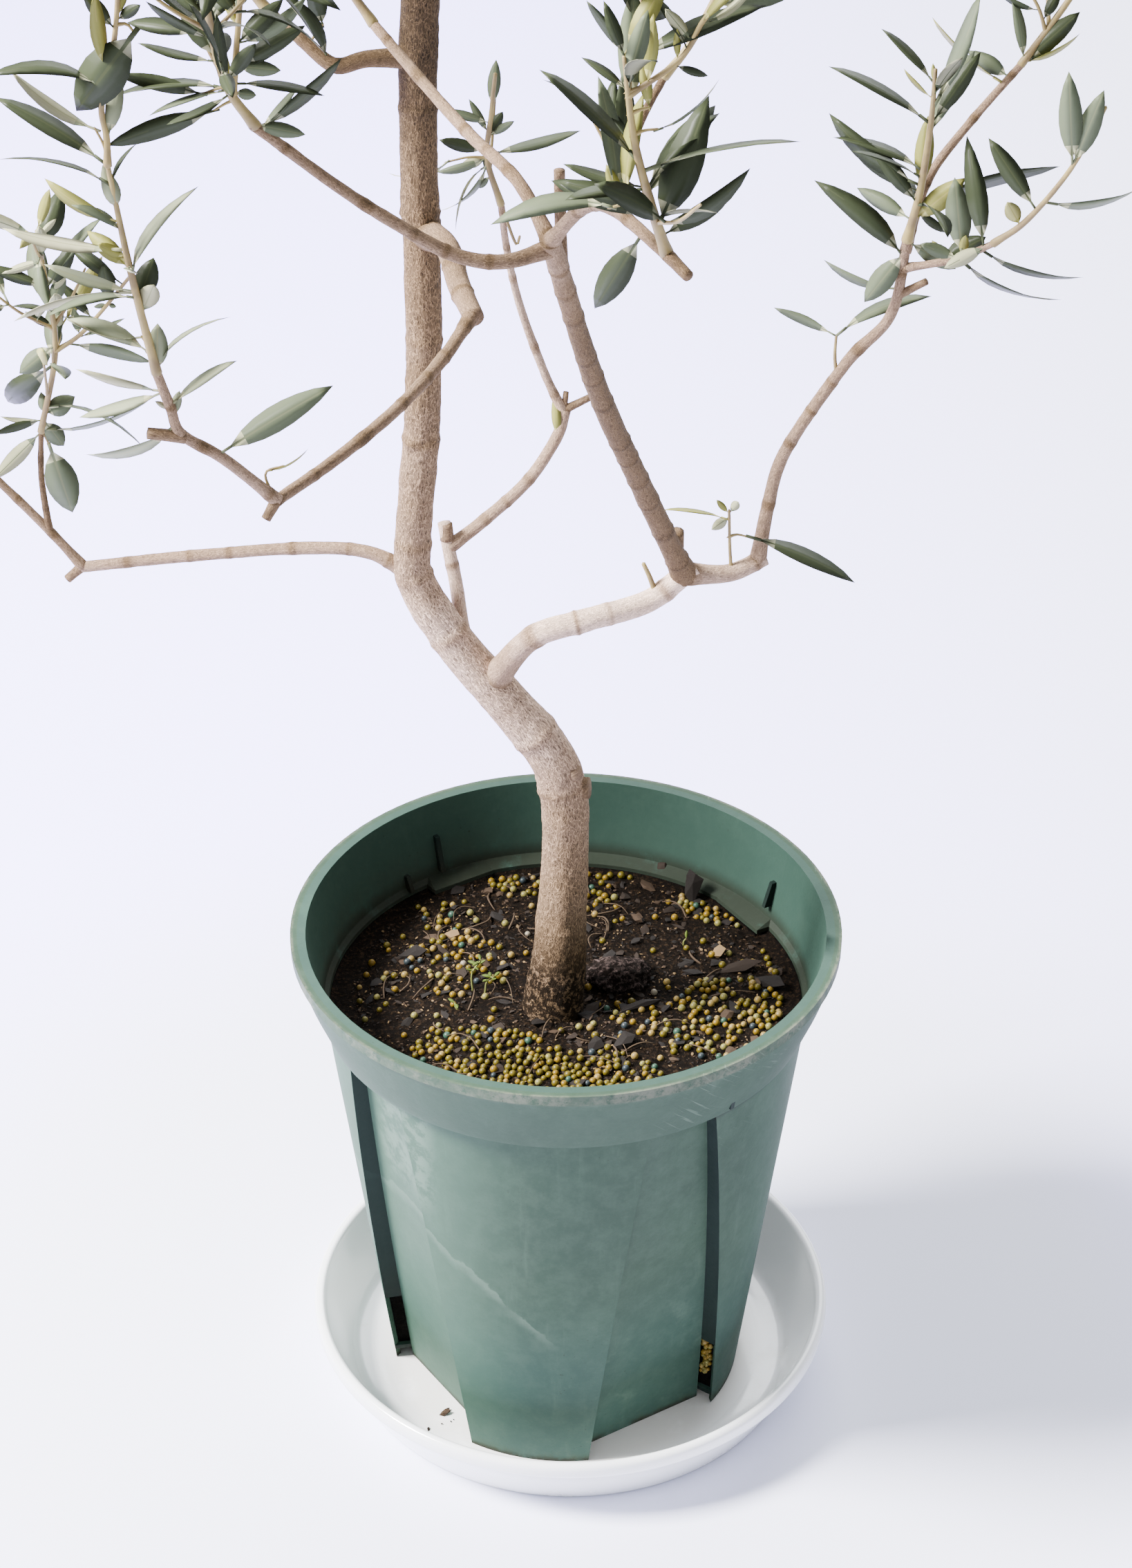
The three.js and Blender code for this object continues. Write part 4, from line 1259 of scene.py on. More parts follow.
@dataclass(frozen=True)
class Studio:
    """A pale floor with a painted glow, a pale surround and soft light from the upper left."""

    floor_size: float = 14.0
    surround: Colour = (0.90, 0.93, 1.0)
    surround_strength: float = 1.0
    lamps: tuple[Lamp, ...] = (
        Lamp("key_light", (-2.42, -0.34, 2.65), (0.0, 0.0, 0.3), 0.95, 880.0, (1.0, 0.985, 0.985)),
        Lamp("rear_light", (0.5, 2.9, 2.5), (0.0, 0.0, 0.4), 2.6, 190.0, (0.94, 0.97, 1.0)),
    )

    def build(self) -> None:
        """Build the floor, the surround and the lights."""
        half = self.floor_size / 2 / MM
        shape = Shape()
        shape.add([vec(-half, -half, 0), vec(half, -half, 0), vec(half, half, 0), vec(-half, half, 0)])
        shape.face(0, 1, 2, 3)
        floor = put("floor", shape.mesh("floor"), Floor().material())
        world = bpy.data.worlds.new("surround")
        bpy.context.scene.world = world
        world.use_nodes = True
        board = Board(world.node_tree)
        sky = board.sock("ShaderNodeBackground",
                         {"Color": opaque(self.surround), "Strength": self.surround_strength})
        board.node("ShaderNodeOutputWorld", {0: sky})
        for lamp in self.lamps:
            lamp.build()


# Trunk and boughs


@dataclass(frozen=True)
class Stub:
    """The short stump of a twig that was cut, seen at a pixel of the photograph."""

    carrier: str
    pixel: Pair
    bearing: float
    rise: float
    length: float
    radius: float
    tone: float = 0.55


@dataclass
class Frame:
    """The trunk and its boughs, with the relief of their bark, knots and stumps."""

    view: Viewpoint
    limbs: dict[str, Limb] = field(default_factory=dict)
    trunk_foot: Colour = (-7.0, -14.0, 253.3)
    trunk_foot_radius: float = 17.8
    trunk_sides: int = 76
    bough_sides: int = 18
    stub_sides: int = 10
    bough_tone: float = 0.44
    trunk_tones: tuple[Pair, ...] = (
        (253, 0.54), (300, 0.57), (390, 0.6), (425, 0.77), (500, 0.8), (535, 0.63), (600, 0.56), (660, 0.51),
        (740, 0.32), (800, 0.08), (1000, 0.12),
    )
    trunk_scars: tuple[Pair, ...] = (
        (491, 0.7), (524, 0.8), (543, 0.5), (601, 0.9), (716, 1.7), (722, 0.8), (401, 0.9), (432, 0.5),
        (655, 0.4), (775, 0.5), (840, 0.7),
    )
    root_slip: float = 0.75

    def lay(self) -> None:
        """Lay the routes of the trunk and the boughs."""
        ends = [self.trunk_foot_radius, *(leg[3] for leg in TRUNK_LEGS)]
        corners = corners_of(vec(*self.trunk_foot), TRUNK_LEGS)
        self.limbs["trunk"] = Limb.through(corners, ends)
        for plan in BOUGHS:
            start = place_at(self.limbs[plan.carrier].coarse, plan.distance)[0]
            corners = corners_of(start, plan.legs)
            radii = [lerp(plan.foot, plan.tip, i / len(plan.legs)) for i in range(len(corners))]
            limb = Limb.through(corners, radii)
            slip = self.root_slip * self._girth_at(self.limbs[plan.carrier], plan.distance)
            corners[0] = place_at(self.limbs[plan.carrier].coarse, plan.distance - slip)[0]
            rooted = Limb.through(corners, radii)
            self.limbs[plan.name] = replace(limb, fine=rooted.fine, fine_radii=rooted.fine_radii)

    def build(self) -> None:
        """Build the trunk and the boughs and dress them in bark."""
        trunk = Shape()
        wood = Wood(self.trunk_sides, relief=0.45, girth=0.06, tones=self.trunk_tones,
                    scars=self.trunk_scars)
        wood.build(trunk, self.limbs["trunk"], 0.0)
        piece = put("trunk_bark", trunk.mesh("trunk_bark"), Bark().material())
        mount(piece, "bark", "trunk")
        boughs = Shape()
        for number, plan in enumerate(BOUGHS, 1):
            limb = self.limbs[plan.name]
            carrier = self.limbs[plan.carrier]
            at = self._girth_at(carrier, plan.distance)
            plain = ((0.0, BOUGH_TONES.get(plan.name, self.bough_tone)),)
            tones = BOUGH_TONES_BY_HEIGHT.get(plan.name, plain)
            wood = Wood(self.bough_sides, relief=0.16, girth=0.05, collar=0.22, collar_at=at * 0.9,
                        collar_fade=max(6.0, plan.foot * 2.2), blunt=0.4, tones=tones, node_spacing=27.0)
            wood.build(boughs, limb, number)
        for number, stub in enumerate(STUBS, 1):
            self._add_stub(boughs, stub, number)
        bark = Bark("bough_bark", grain=1.25, net=0.4, foot_top=0.2, foot_low=0.19)
        piece = put("boughs_bark", boughs.mesh("boughs_bark"), bark.material())
        mount(piece, "bark", *(plan.name for plan in BOUGHS))

    @staticmethod
    def _girth_at(limb: Limb, distance: float) -> float:
        """Return a limb's radius at a distance from its foot."""
        marks = np.linalg.norm(np.diff(limb.coarse, axis=0), axis=1).cumsum()
        return float(np.interp(distance, marks, limb.radii[1:]))

    def _add_stub(self, shape: Shape, stub: Stub, number: int) -> None:
        """Add a stump.

        Args:
            shape: The shape that gathers the boughs.
            stub: The stump.
            number: Its number, which moves its pattern.
        """
        root = self.limbs[stub.carrier].nearest_to(self.view.eye, self.view.ray(stub.pixel))
        tip = root + heading(stub.bearing, stub.rise) * stub.length
        limb = Limb.through(np.array([root, lerp(root, tip, 0.55), tip]),
                            [stub.radius * 1.15, stub.radius, stub.radius * 0.94])
        tones = ((0.0, stub.tone),)
        wood = Wood(self.stub_sides, relief=0.12, girth=0.06, blunt=0.25, tones=tones)
        wood.build(shape, limb, 60.0 + number)


# Small pieces set out in numbers


class GeometryBoard(Board):
    """A Geometry Nodes tree with named inputs, made to be run on one object."""

    def __init__(self, name: str) -> None:
        """Make the tree with a geometry input and a geometry output.

        Args:
            name: The tree's name.
        """
        super().__init__(bpy.data.node_groups.new(name, "GeometryNodeTree"))
        self._socket("Geometry", "INPUT", "NodeSocketGeometry")
        self._socket("Geometry", "OUTPUT", "NodeSocketGeometry")
        self.values: dict[str, Any] = {}

    def _socket(self, name: str, side: str, kind: str) -> Any:
        """Add a socket to the tree's own interface."""
        return self.tree.interface.new_socket(name, in_out=side, socket_type=kind)

    def input(self, name: str, kind: str, value: Any) -> None:
        """Add a named input and keep the value that the modifier gives it."""
        self.values[self._socket(name, "INPUT", kind).identifier] = value

    def given(self, name: str) -> Sock:
        """Return one of the tree's inputs."""
        return self.sock("NodeGroupInput", output=name)

    def read(self, name: str, kind: str) -> Sock:
        """Return a stored attribute."""
        return self.sock("GeometryNodeInputNamedAttribute", {"Name": name}, "Attribute", data_type=kind)

    def run(self, piece: bpy.types.Object) -> None:
        """Run the tree on an object and keep the result as a plain mesh.

        Args:
            piece: The object.
        """
        modifier = piece.modifiers.new("nodes", "NODES")
        modifier.node_group = self.tree
        for identifier, value in self.values.items():
            modifier[identifier] = value
        settle(piece)
        bpy.data.node_groups.remove(self.tree)


@dataclass
class Bit:
    """One small piece that is set out: its root, axes, size and form, and its number of dress."""

    root: np.ndarray
    along: np.ndarray
    up: np.ndarray
    size: np.ndarray
    form: int
    dress: int | None = None


@dataclass
class Scatter:
    """Sets out copies of some small forms as Geometry Nodes instances and joins them."""

    name: str
    forms: list[bpy.types.Mesh]
    materials: list[bpy.types.Material]

    def build(self, bits: list[Bit]) -> bpy.types.Object:
        """Build the piece.

        Args:
            bits: What is set out.

        Returns:
            The joined piece.
        """
        points = bpy.data.meshes.new(self.name)
        points.from_pydata([tuple(bit.root * MM) for bit in bits], [], [])
        for value, scale in (("along", 1.0), ("up", 1.0), ("size", MM)):
            self._store(points, value, "FLOAT_VECTOR", [getattr(bit, value) * scale for bit in bits])
        for value in ("form",) if bits[0].dress is None else ("form", "dress"):
            self._store(points, value, "INT", [getattr(bit, value) for bit in bits])
        shapes = bpy.data.collections.new(self.name)
        for number, form in enumerate(self.forms):
            shapes.objects.link(bpy.data.objects.new(f"form_{number}", form))
        piece = put(self.name, points)
        self._tree(shapes).run(piece)
        for shape in list(shapes.objects):
            bpy.data.objects.remove(shape)
        bpy.data.collections.remove(shapes)
        return piece

    @staticmethod
    def _store(points: bpy.types.Mesh, name: str, kind: str, rows: list[Any]) -> None:
        """Store a value for each point.

        Args:
            points: The mesh of points.
            name: The value's name.
            kind: Its kind.
            rows: The value of each point.
        """
        attribute = points.attributes.new(name, kind, "POINT")
        field_name = "vector" if kind == "FLOAT_VECTOR" else "value"
        attribute.data.foreach_set(field_name, np.array(rows).ravel())

    def _tree(self, shapes: bpy.types.Collection) -> GeometryBoard:
        """Build the tree.

        Args:
            shapes: The collection that holds the forms.

        Returns:
            The tree.
        """
        tree = GeometryBoard(self.name)
        tree.input("Forms", "NodeSocketCollection", shapes)
        for number, material in enumerate(self.materials):
            tree.input(f"Dress {number}", "NodeSocketMaterial", material)
        forms = tree.sock("GeometryNodeCollectionInfo", {
            "Collection": tree.given("Forms"), "Separate Children": True, "Reset Children": True})
        along, up = tree.read("along", "FLOAT_VECTOR"), tree.read("up", "FLOAT_VECTOR")
        turn = tree.sock("FunctionNodeAxesToRotation", {0: along, 1: up}, primary_axis="X",
                         secondary_axis="Z")
        placed = tree.sock("GeometryNodeInstanceOnPoints", {
            "Points": tree.given("Geometry"), "Instance": forms, "Pick Instance": True,
            "Instance Index": tree.read("form", "INT"), "Rotation": turn,
            "Scale": tree.read("size", "FLOAT_VECTOR")})
        made = tree.sock("GeometryNodeRealizeInstances", {0: placed})
        for number in range(len(self.materials)):
            values = {"Geometry": made, "Material": tree.given(f"Dress {number}")}
            if number:
                choice = {2: tree.read("dress", "INT"), 3: number}
                values["Selection"] = tree.sock("FunctionNodeCompare", choice, data_type="INT",
                                                operation="EQUAL")
            made = tree.sock("GeometryNodeSetMaterial", values)
        tree.node("NodeGroupOutput", {0: made})
        return tree


# Foliage


@dataclass(frozen=True)
class Blade:
    """The olive leaf: a narrow blade folded at its rib, rolled at its edges, on a short stalk."""

    rows: int = 8
    fold: float = 0.14
    arch: float = 0.05
    twist: float = 0.0
    sway: float = 0.0
    thickness: float = 0.011
    rib: float = 0.04
    stalk: float = 0.13
    rib_reach: float = 0.062
    depth: float = 0.24

    def mesh(self, name: str) -> bpy.types.Mesh:
        """Build the leaf, 1 long and 1 wide, in the units of the mesh.

        Args:
            name: The mesh's name.

        Returns:
            The leaf, with its side given by an attribute on its faces.
        """
        shape = Shape()
        rings = [self._ring(row / self.rows) for row in range(1, self.rows)]
        foot = shape.add(self._stalk_ring(self.stalk))
        starts = [shape.add(ring) for ring in rings]
        root = shape.add(self._stalk_ring(0.0))
        tip = shape.add([self._place(1.0, 0.0, 0.0)])
        shape.stack([root, foot, *starts], 6)
        for k in range(6):
            shape.face(starts[-1] + k, starts[-1] + (k + 1) % 6, tip)
        shape.face(*(root + k for k in reversed(range(6))))
        shape.dress = [self._dress_of(shape, face) for face in shape.faces]
        mesh = shape.mesh(name)
        mesh.transform(Matrix.Scale(1 / MM, 4))
        side = mesh.attributes.new("dress", "INT", "FACE")
        side.data.foreach_set("value", shape.dress)
        return mesh

    def _width(self, t: float) -> float:
        """Return the blade's half width at a share of its length."""
        start = (t - self.stalk) / (1 - self.stalk)
        return 0.5 * math.sin(math.pi * clamp(start, 0.0, 1.0) ** 0.9) ** 0.74

    def _place(self, t: float, across: float, up: float) -> np.ndarray:
        """Return a point of the leaf.

        Args:
            t: The share of its length.
            across: How far to the left of the rib, in widths.
            up: How far above the middle surface, in lengths.

        Returns:
            The point.
        """
        droop = -self.arch * 4 * (t - 0.25) ** 2 + self.arch * 0.25
        side = self.sway * math.sin(math.pi * t)
        angle = self.twist * t
        lift = up + self.fold * abs(across) - 0.35 * self.fold * (2 * abs(across)) ** 3
        wide = across * math.cos(angle)
        tall = across * math.sin(angle)
        return vec(t, wide + side, droop + (lift + tall) * self.depth)

    def _ring(self, t: float) -> list[np.ndarray]:
        """Return the six corners of the blade at a share of its length.

        Args:
            t: The share.

        Returns:
            The corners, from the left edge over the upper side.
        """
        half, rib, skin = max(self._width(t), self.rib), self.rib * (1.1 - 0.6 * t), self.thickness
        section = ((half, 0.0), (rib, skin), (-rib, skin), (-half, 0.0), (-rib, -skin * 3.2),
                   (rib, -skin * 3.2))
        return [self._place(t, across, up) for across, up in section]

    def _stalk_ring(self, t: float) -> list[np.ndarray]:
        """Return the six corners of the stalk at a share of the leaf's length.

        Args:
            t: The share.

        Returns:
            The corners.
        """
        angles = [math.radians(degrees) for degrees in range(0, 360, 60)]
        return [self._place(t, self.rib * 1.5 * math.cos(angle), 0.0) + vec(0, 0, 0.016 * math.sin(angle))
                for angle in angles]

    def _dress_of(self, shape: Shape, face: tuple[int, ...]) -> int:
        """Return 0 for the upper side, 1 for the underside and 2 for the rib and the stalk.

        Args:
            shape: The leaf's shape.
            face: The numbers of the face's corners.

        Returns:
            The number.
        """
        corners = np.array([shape.corners[number] for number in face])
        if np.abs(corners[:, 1]).max() < self.rib_reach or len(face) == 6:
            return 2
        return 0 if np.cross(corners[1] - corners[0], corners[2] - corners[1])[2] > 0 else 1


class Kind(Enum):
    """The kinds of leaves, each with the colours of its upper side, underside and rib."""

    DEEP = "deep"
    GREY = "grey"
    PALE = "pale"
    YOUNG = "young"


@dataclass(frozen=True)
class LeafColours:
    """The plain colours of one kind of leaf."""

    top: Colour
    under: Colour
    rib: Colour
    gloss: float

    def materials(self, name: str) -> list[bpy.types.Material]:
        """Build the materials of the upper side, the underside and the rib.

        Args:
            name: The start of their names.

        Returns:
            The materials, in this order.
        """
        return [
            Plain(f"{name}_top", self.top, self.gloss, 0.13).material(),
            Plain(f"{name}_under", self.under, 0.7, 0.06).material(),
            Plain(f"{name}_rib", self.rib, 0.6, 0.1).material(),
        ]


LEAF_COLOURS = {
    Kind.DEEP: LeafColours((0.0275, 0.0345, 0.0165), (0.16, 0.16, 0.105), (0.038, 0.045, 0.021), 0.45),
    Kind.GREY: LeafColours((0.090, 0.108, 0.062), (0.32, 0.32, 0.19), (0.118, 0.13, 0.072), 0.52),
    Kind.PALE: LeafColours((0.195, 0.213, 0.13), (0.31, 0.30, 0.185), (0.23, 0.23, 0.125), 0.55),
    Kind.YOUNG: LeafColours((0.19, 0.185, 0.045), (0.30, 0.285, 0.11), (0.235, 0.21, 0.065), 0.5),
}


@dataclass(frozen=True)
class SeenTwig:
    """A twig that the photograph shows: its carrier, its corners in pixels and its radius."""

    name: str
    carrier: str
    pixels: tuple[Pair, ...]
    radius: float = 1.5


@dataclass(frozen=True)
class SeenLeaves:
    """Leaves that the photograph shows on a carrier: pixels of root and tip, and pixels across."""

    carrier: str
    kind: Kind
    rows: tuple[tuple[float, float, float, float, float], ...]
    under: bool = False


@dataclass
class Spray:
    """One mass of foliage: its plan, its stem, the ones before it and what has grown on it."""

    plan: MassPlan
    stem: Limb
    kind: Kind
    earlier: list["Spray"]
    taken: list[tuple[np.ndarray, np.ndarray]] = field(default_factory=list)
    shoots: list[Limb] = field(default_factory=list)
    leaves: list[tuple[Kind, Bit]] = field(default_factory=list)

    def apart(self, start: np.ndarray, end: np.ndarray, least: float) -> bool:
        """Return whether a run keeps a distance from everything on this spray."""
        taken = [np.array(side) for side in zip(*self.taken)]
        return not taken or bool((gaps_to(start, end, *taken) > least).all())


@dataclass
class Crown:
    """The foliage, grown on from the limbs by the source's rule and carried to life-size leaves."""

    frame: Frame
    stem_foot_radius: float = 1.7
    stem_tip_radius: float = 0.95
    stem_root: float = 2.0
    shoot_radius: float = 1.05
    shoot_tip_radius: float = 0.6
    shoot_start: float = 7.0
    shoot_share: float = 0.72
    shoot_sag: float = 0.05
    knot_spacing: float = 36.0
    least_knots: int = 2
    knot_offset: float = 0.6
    quarter_turn_play: float = 0.9
    spread_middle: float = 50.0
    spread_play: float = 22.0
    length_least: float = 0.55
    length_play: float = 0.4
    lift: float = 0.25
    shoot_tries: tuple[float, ...] = (1.0, 0.7, 0.45)
    shoot_least: float = 8.0
    blade_share: float = 0.86
    blade_least: float = 46.0
    blade_most: float = 84.0
    blade_width_share: float = 0.33
    keep_share: float = 0.6
    apart: float = 4.6
    clearance: float = 0.8
    gap: float = 0.3
    sky: Colour = (0.2, -0.3, 1.0)
    leaf_stream: int = 500
    leaf_spacing: float = 15.0
    leaf_least: float = 36.0
    leaf_play: float = 16.0
    leaf_width: float = 10.6
    leaf_width_play: float = 3.4
    leaf_apart: float = 2.6
    leaf_stalk: float = 6.0
    leaf_mean: float = 46.0
    leaf_spread: Pair = (68.0, 26.0)
    leaf_spread_play: float = 20.0
    leaf_turn_play: float = 0.7
    leaf_lift_play: float = 0.3
    leaf_roll_play: float = 1.3
    leaf_taper: Pair = (1.08, 0.8)
    leaf_keep_share: float = 0.3
    stem_bare: float = 0.22
    shoot_bare: float = 0.2
    young_from: float = 0.86
    young_share: float = 0.6
    leaf_tries: tuple[float, ...] = (1.0, 0.82, 0.64)
    seen_stream: int = 900
    seen_snap: float = 6.5
    seen_least_width: float = 0.2
    seen_lean: float = 0.55
    seen_margin: float = 1.0
    seen_widening: float = 1.08
    sprays: list[Spray] = field(default_factory=list)
    routes: dict[str, Limb] = field(default_factory=dict)
    stalks: list[Limb] = field(default_factory=list)
    seen: list[tuple[Kind, Bit]] = field(default_factory=list)

    def grow(self) -> None:
        """Grow every spray from its bough."""
        limbs = self.frame.limbs
        starts = [limb.coarse[:-1] for limb in limbs.values()]
        ends = [limb.coarse[1:] for limb in limbs.values()]
        girths = [np.maximum(limb.radii[:-1], limb.radii[1:]) for limb in limbs.values()]
        self.wood = (np.vstack(starts), np.vstack(ends), np.concatenate(girths))
        for plan in MASSES:
            limb = limbs[plan.carrier]
            tip, along = place_at(limb.coarse, math.inf)
            corners = corners_of(tip - along * self.stem_root, plan.legs)
            foot = max(float(limb.radii[-1]), self.stem_foot_radius)
            radii = [lerp(foot, self.stem_tip_radius, i / len(plan.legs)) for i in range(len(corners))]
            stem = Limb.through(corners, radii, steps=1)
            kind = (Kind.DEEP, Kind.GREY)[plan.seed % 2]
            self.sprays.append(Spray(plan, stem, kind, list(self.sprays)))
        self.routes = {**limbs, **{spray.plan.name: spray.stem for spray in self.sprays}}
        self._place_seen()
        for spray in self.sprays:
            self._grow_shoots(spray)
            self._grow_leaves(spray)

    def _place_seen(self) -> None:
        """Place the twigs and the leaves that the photograph shows, each on its carrier."""
        view = self.frame.view
        for twig in TWIGS:
            near = self.routes[twig.carrier].nearest_to(view.eye, view.ray(twig.pixels[0]))
            corners = [near] + [view.at_depth(pixel, near[1]) for pixel in twig.pixels[1:]]
            radii = [lerp(twig.radius, twig.radius * 0.6, i / len(corners)) for i in range(len(corners))]
            self.routes[twig.name] = Limb.through(np.array(corners), radii)
            self.stalks.append(self.routes[twig.name])
        draw = stream_of(self.seen_stream)
        self.seen = [(group.kind, self._seen_leaf(group, row, draw))
                     for group in SEEN for row in group.rows]
        rows = np.array([row for group in SEEN for row in group.rows])
        self.lines = (rows[:, :2], rows[:, 2:4], rows[:, 4] / 2 + self.seen_margin)

    def _seen_leaf(self, group: SeenLeaves, row: Sequence[float], draw: Callable[[], float]) -> Bit:
        """Return one leaf that the photograph shows.

        Args:
            group: Its group.
            row: The pixels of its root and tip, and its width in pixels.
            draw: The stream that gives its lean and form.

        Returns:
            The leaf.
        """
        view = self.frame.view
        near = self.routes[group.carrier].nearest_to(view.eye, view.ray(row[:2]))
        root = view.at_depth(row[:2], near[1])
        flat_tip = view.at_depth(row[2:4], near[1])
        span = float(np.linalg.norm(flat_tip - root))
        scale = span / max(math.dist(row[:2], row[2:4]), 1.0)
        tip = view.at_depth(row[2:4], near[1] + span * self.seen_lean * (draw() - 0.5))
        if np.linalg.norm(root - near) > self.seen_snap:
            stalk = np.array([near, lerp(near, root, 0.5) + vec(0, 0, 1), lerp(root, tip, 0.06)])
            self.stalks.append(Limb.through(stalk, [0.8, 0.6, 0.5]))
        else:
            root = near
        along = unit(tip - root)
        length = float(np.linalg.norm(tip - root))
        wide = row[4] * scale * self.seen_widening
        full = max(wide, self.seen_least_width * length)
        sight = unit(view.eye - root)
        up = unit(sight - along * float(sight @ along)) * (-1 if group.under else 1)
        up = turned(up, along, math.acos(clamp(wide / full, 0.1, 1.0)) * (1 if draw() < 0.5 else -1))
        return Bit(root, along, up, vec(length, full, length), int(draw() * len(BLADES)))

    def _shown(self, *points: np.ndarray) -> bool:
        """Tell whether the photograph has leaves, or nothing in view, at all of some points.

        Args:
            points: The points in millimetres.

        Returns:
            Whether it does at all of them.
        """
        view = self.frame.view
        starts, ends, halves = self.lines
        for point in points:
            pixel = view.pixel_of(point)
            outside = not (0 < pixel[0] < view.width and 0 < pixel[1] < view.height)
            if not outside and (gaps_to(pixel, pixel, starts, ends) > halves).all():
                return False
        return True

    def _fits(self, start: np.ndarray, end: np.ndarray, half: float, spray: Spray) -> bool:
        """Tell whether a run stays in its spray's space, out of the earlier ones and off the wood.

        Args:
            start: The run's start.
            end: The run's end.
            half: Half its thickness.
            spray: The spray that it grows on.

        Returns:
            Whether it fits.
        """
        stem = spray.stem.coarse
        if not self._shown(*(lerp(start, end, share) for share in (0.25, 0.5, 0.75, 1.0))):
            return False
        for point in (start, end):
            if gaps_to(point, point, stem[:-1], stem[1:]).min() + half > spray.plan.reach:
                return False
        for other in spray.earlier:
            route = other.stem.coarse
            nearest = gaps_to(start, end, route[:-1], route[1:]).min()
            if nearest - half - self.gap < other.plan.reach:
                return False
        starts, ends, girths = self.wood
        return bool((gaps_to(start, end, starts, ends) > girths + half + self.clearance).all())

    def _grow_shoots(self, spray: Spray) -> None:
        """Grow pairs of shoots on opposite sides of the stem, each pair turned a quarter round.

        Args:
            spray: The spray.
        """
        draw = stream_of(spray.plan.seed)
        stem = spray.stem.coarse
        total = length_of(stem)
        knots = max(self.least_knots, round(total / self.knot_spacing))
        blade = clamp(spray.plan.reach * self.blade_share, self.blade_least, self.blade_most)
        room = spray.plan.reach / math.sin(math.radians(self.spread_middle)) - blade
        for knot in range(knots):
            point, along = place_at(stem, total * (knot + self.knot_offset) / knots)
            turn = knot * math.pi / 2 + (draw() - 0.5) * self.quarter_turn_play
            for opposite in (0.0, math.pi):
                spread = math.radians(self.spread_middle + (draw() - 0.5) * self.spread_play)
                length = room * (self.length_least + self.length_play * draw())
                out = square_to(along, turn + opposite)
                way = unit(along * math.cos(spread) + out * math.sin(spread) + vec(0, 0, self.lift))
                self._try_shoot(spray, point, way, length, blade)

    def _try_shoot(self, spray: Spray, point: np.ndarray, way: np.ndarray, length: float,
                   blade: float) -> None:
        """Add the longest shoot that fits, out of some tries.

        Args:
            spray: The spray.
            point: Where it leaves the stem.
            way: Its direction.
            length: Its full length without the leaf at its end.
            blade: The length of that leaf.
        """
        start = point + way * self.shoot_start
        for share in self.shoot_tries:
            stalk = max(length * share, self.shoot_least)
            tip = point + way * (stalk + blade * math.sqrt(share))
            half = blade * math.sqrt(share) * self.blade_width_share / 2
            if not spray.apart(start, tip, self.apart):
                continue
            if self._fits(start, tip, half * self.keep_share, spray):
                spray.taken.append((start, tip))
                bend = vec(0, 0, self.shoot_sag * float(np.linalg.norm(tip - point)))
                end = lerp(point, tip, self.shoot_share)
                corners = np.array([point, lerp(point, end, 0.5) - bend, end])
                radii = [lerp(self.shoot_radius, self.shoot_tip_radius, part) for part in (0, 0.6, 1)]
                spray.shoots.append(Limb.through(corners, radii))
                return

    def _grow_leaves(self, spray: Spray) -> None:
        """Grow pairs of leaves along the stem and every shoot.

        Args:
            spray: The spray.
        """
        draw = stream_of(spray.plan.seed + self.leaf_stream)
        spray.taken.clear()
        runs = [(spray.stem.coarse, self.stem_bare)]
        runs += [(shoot.coarse, self.shoot_bare) for shoot in spray.shoots]
        for route, bare in runs:
            total = length_of(route)
            pairs = max(2, round(total * (1 - bare) / self.leaf_spacing))
            first = draw() * math.pi
            for pair in range(pairs + 1):
                share = bare + (1 - bare) * pair / pairs
                point, along = place_at(route, total * share)
                turn = first + pair * math.pi / 2 + (draw() - 0.5) * self.leaf_turn_play
                for opposite in (0.0, math.pi):
                    self._try_leaf(spray, point, along, turn + opposite, share, draw)

    def _try_leaf(self, spray: Spray, point: np.ndarray, along: np.ndarray, turn: float,
                  share: float, draw: Callable[[], float]) -> None:
        """Add the longest leaf that fits, out of some tries.

        Args:
            spray: The spray.
            point: Its root.
            along: The direction of what it grows on.
            turn: The angle round that direction.
            share: How far out on the shoot it sits.
            draw: The spray's stream of numbers.
        """
        spread = lerp(*self.leaf_spread, share**1.4) + (draw() - 0.5) * self.leaf_spread_play
        spread = math.radians(spread)
        out = square_to(along, turn)
        droop = vec(0, 0, (draw() - 0.6) * self.leaf_lift_play)
        way = unit(along * math.cos(spread) + out * math.sin(spread) + droop)
        full = (self.leaf_least + self.leaf_play * draw()) * lerp(*self.leaf_taper, share**2)
        width = (self.leaf_width + self.leaf_width_play * (draw() - 0.5)) * full / self.leaf_mean
        roll = (draw() - 0.5) * self.leaf_roll_play
        form = int(draw() * len(BLADES))
        young = draw()
        for tried in self.leaf_tries:
            length = full * tried
            start, tip = point + way * self.leaf_stalk, point + way * length
            if not spray.apart(start, tip, self.leaf_apart):
                continue
            if self._fits(start, tip, width * tried * self.leaf_keep_share, spray):
                spray.taken.append((start, tip))
                up = turned(unit(np.cross(way, np.cross(vec(*self.sky), way))), way, roll)
                late = share > self.young_from and young > 1 - self.young_share
                kind = Kind.YOUNG if late else spray.kind
                size = vec(length, width * tried, length)
                spray.leaves.append((kind, Bit(point, way, up, size, form)))
                return

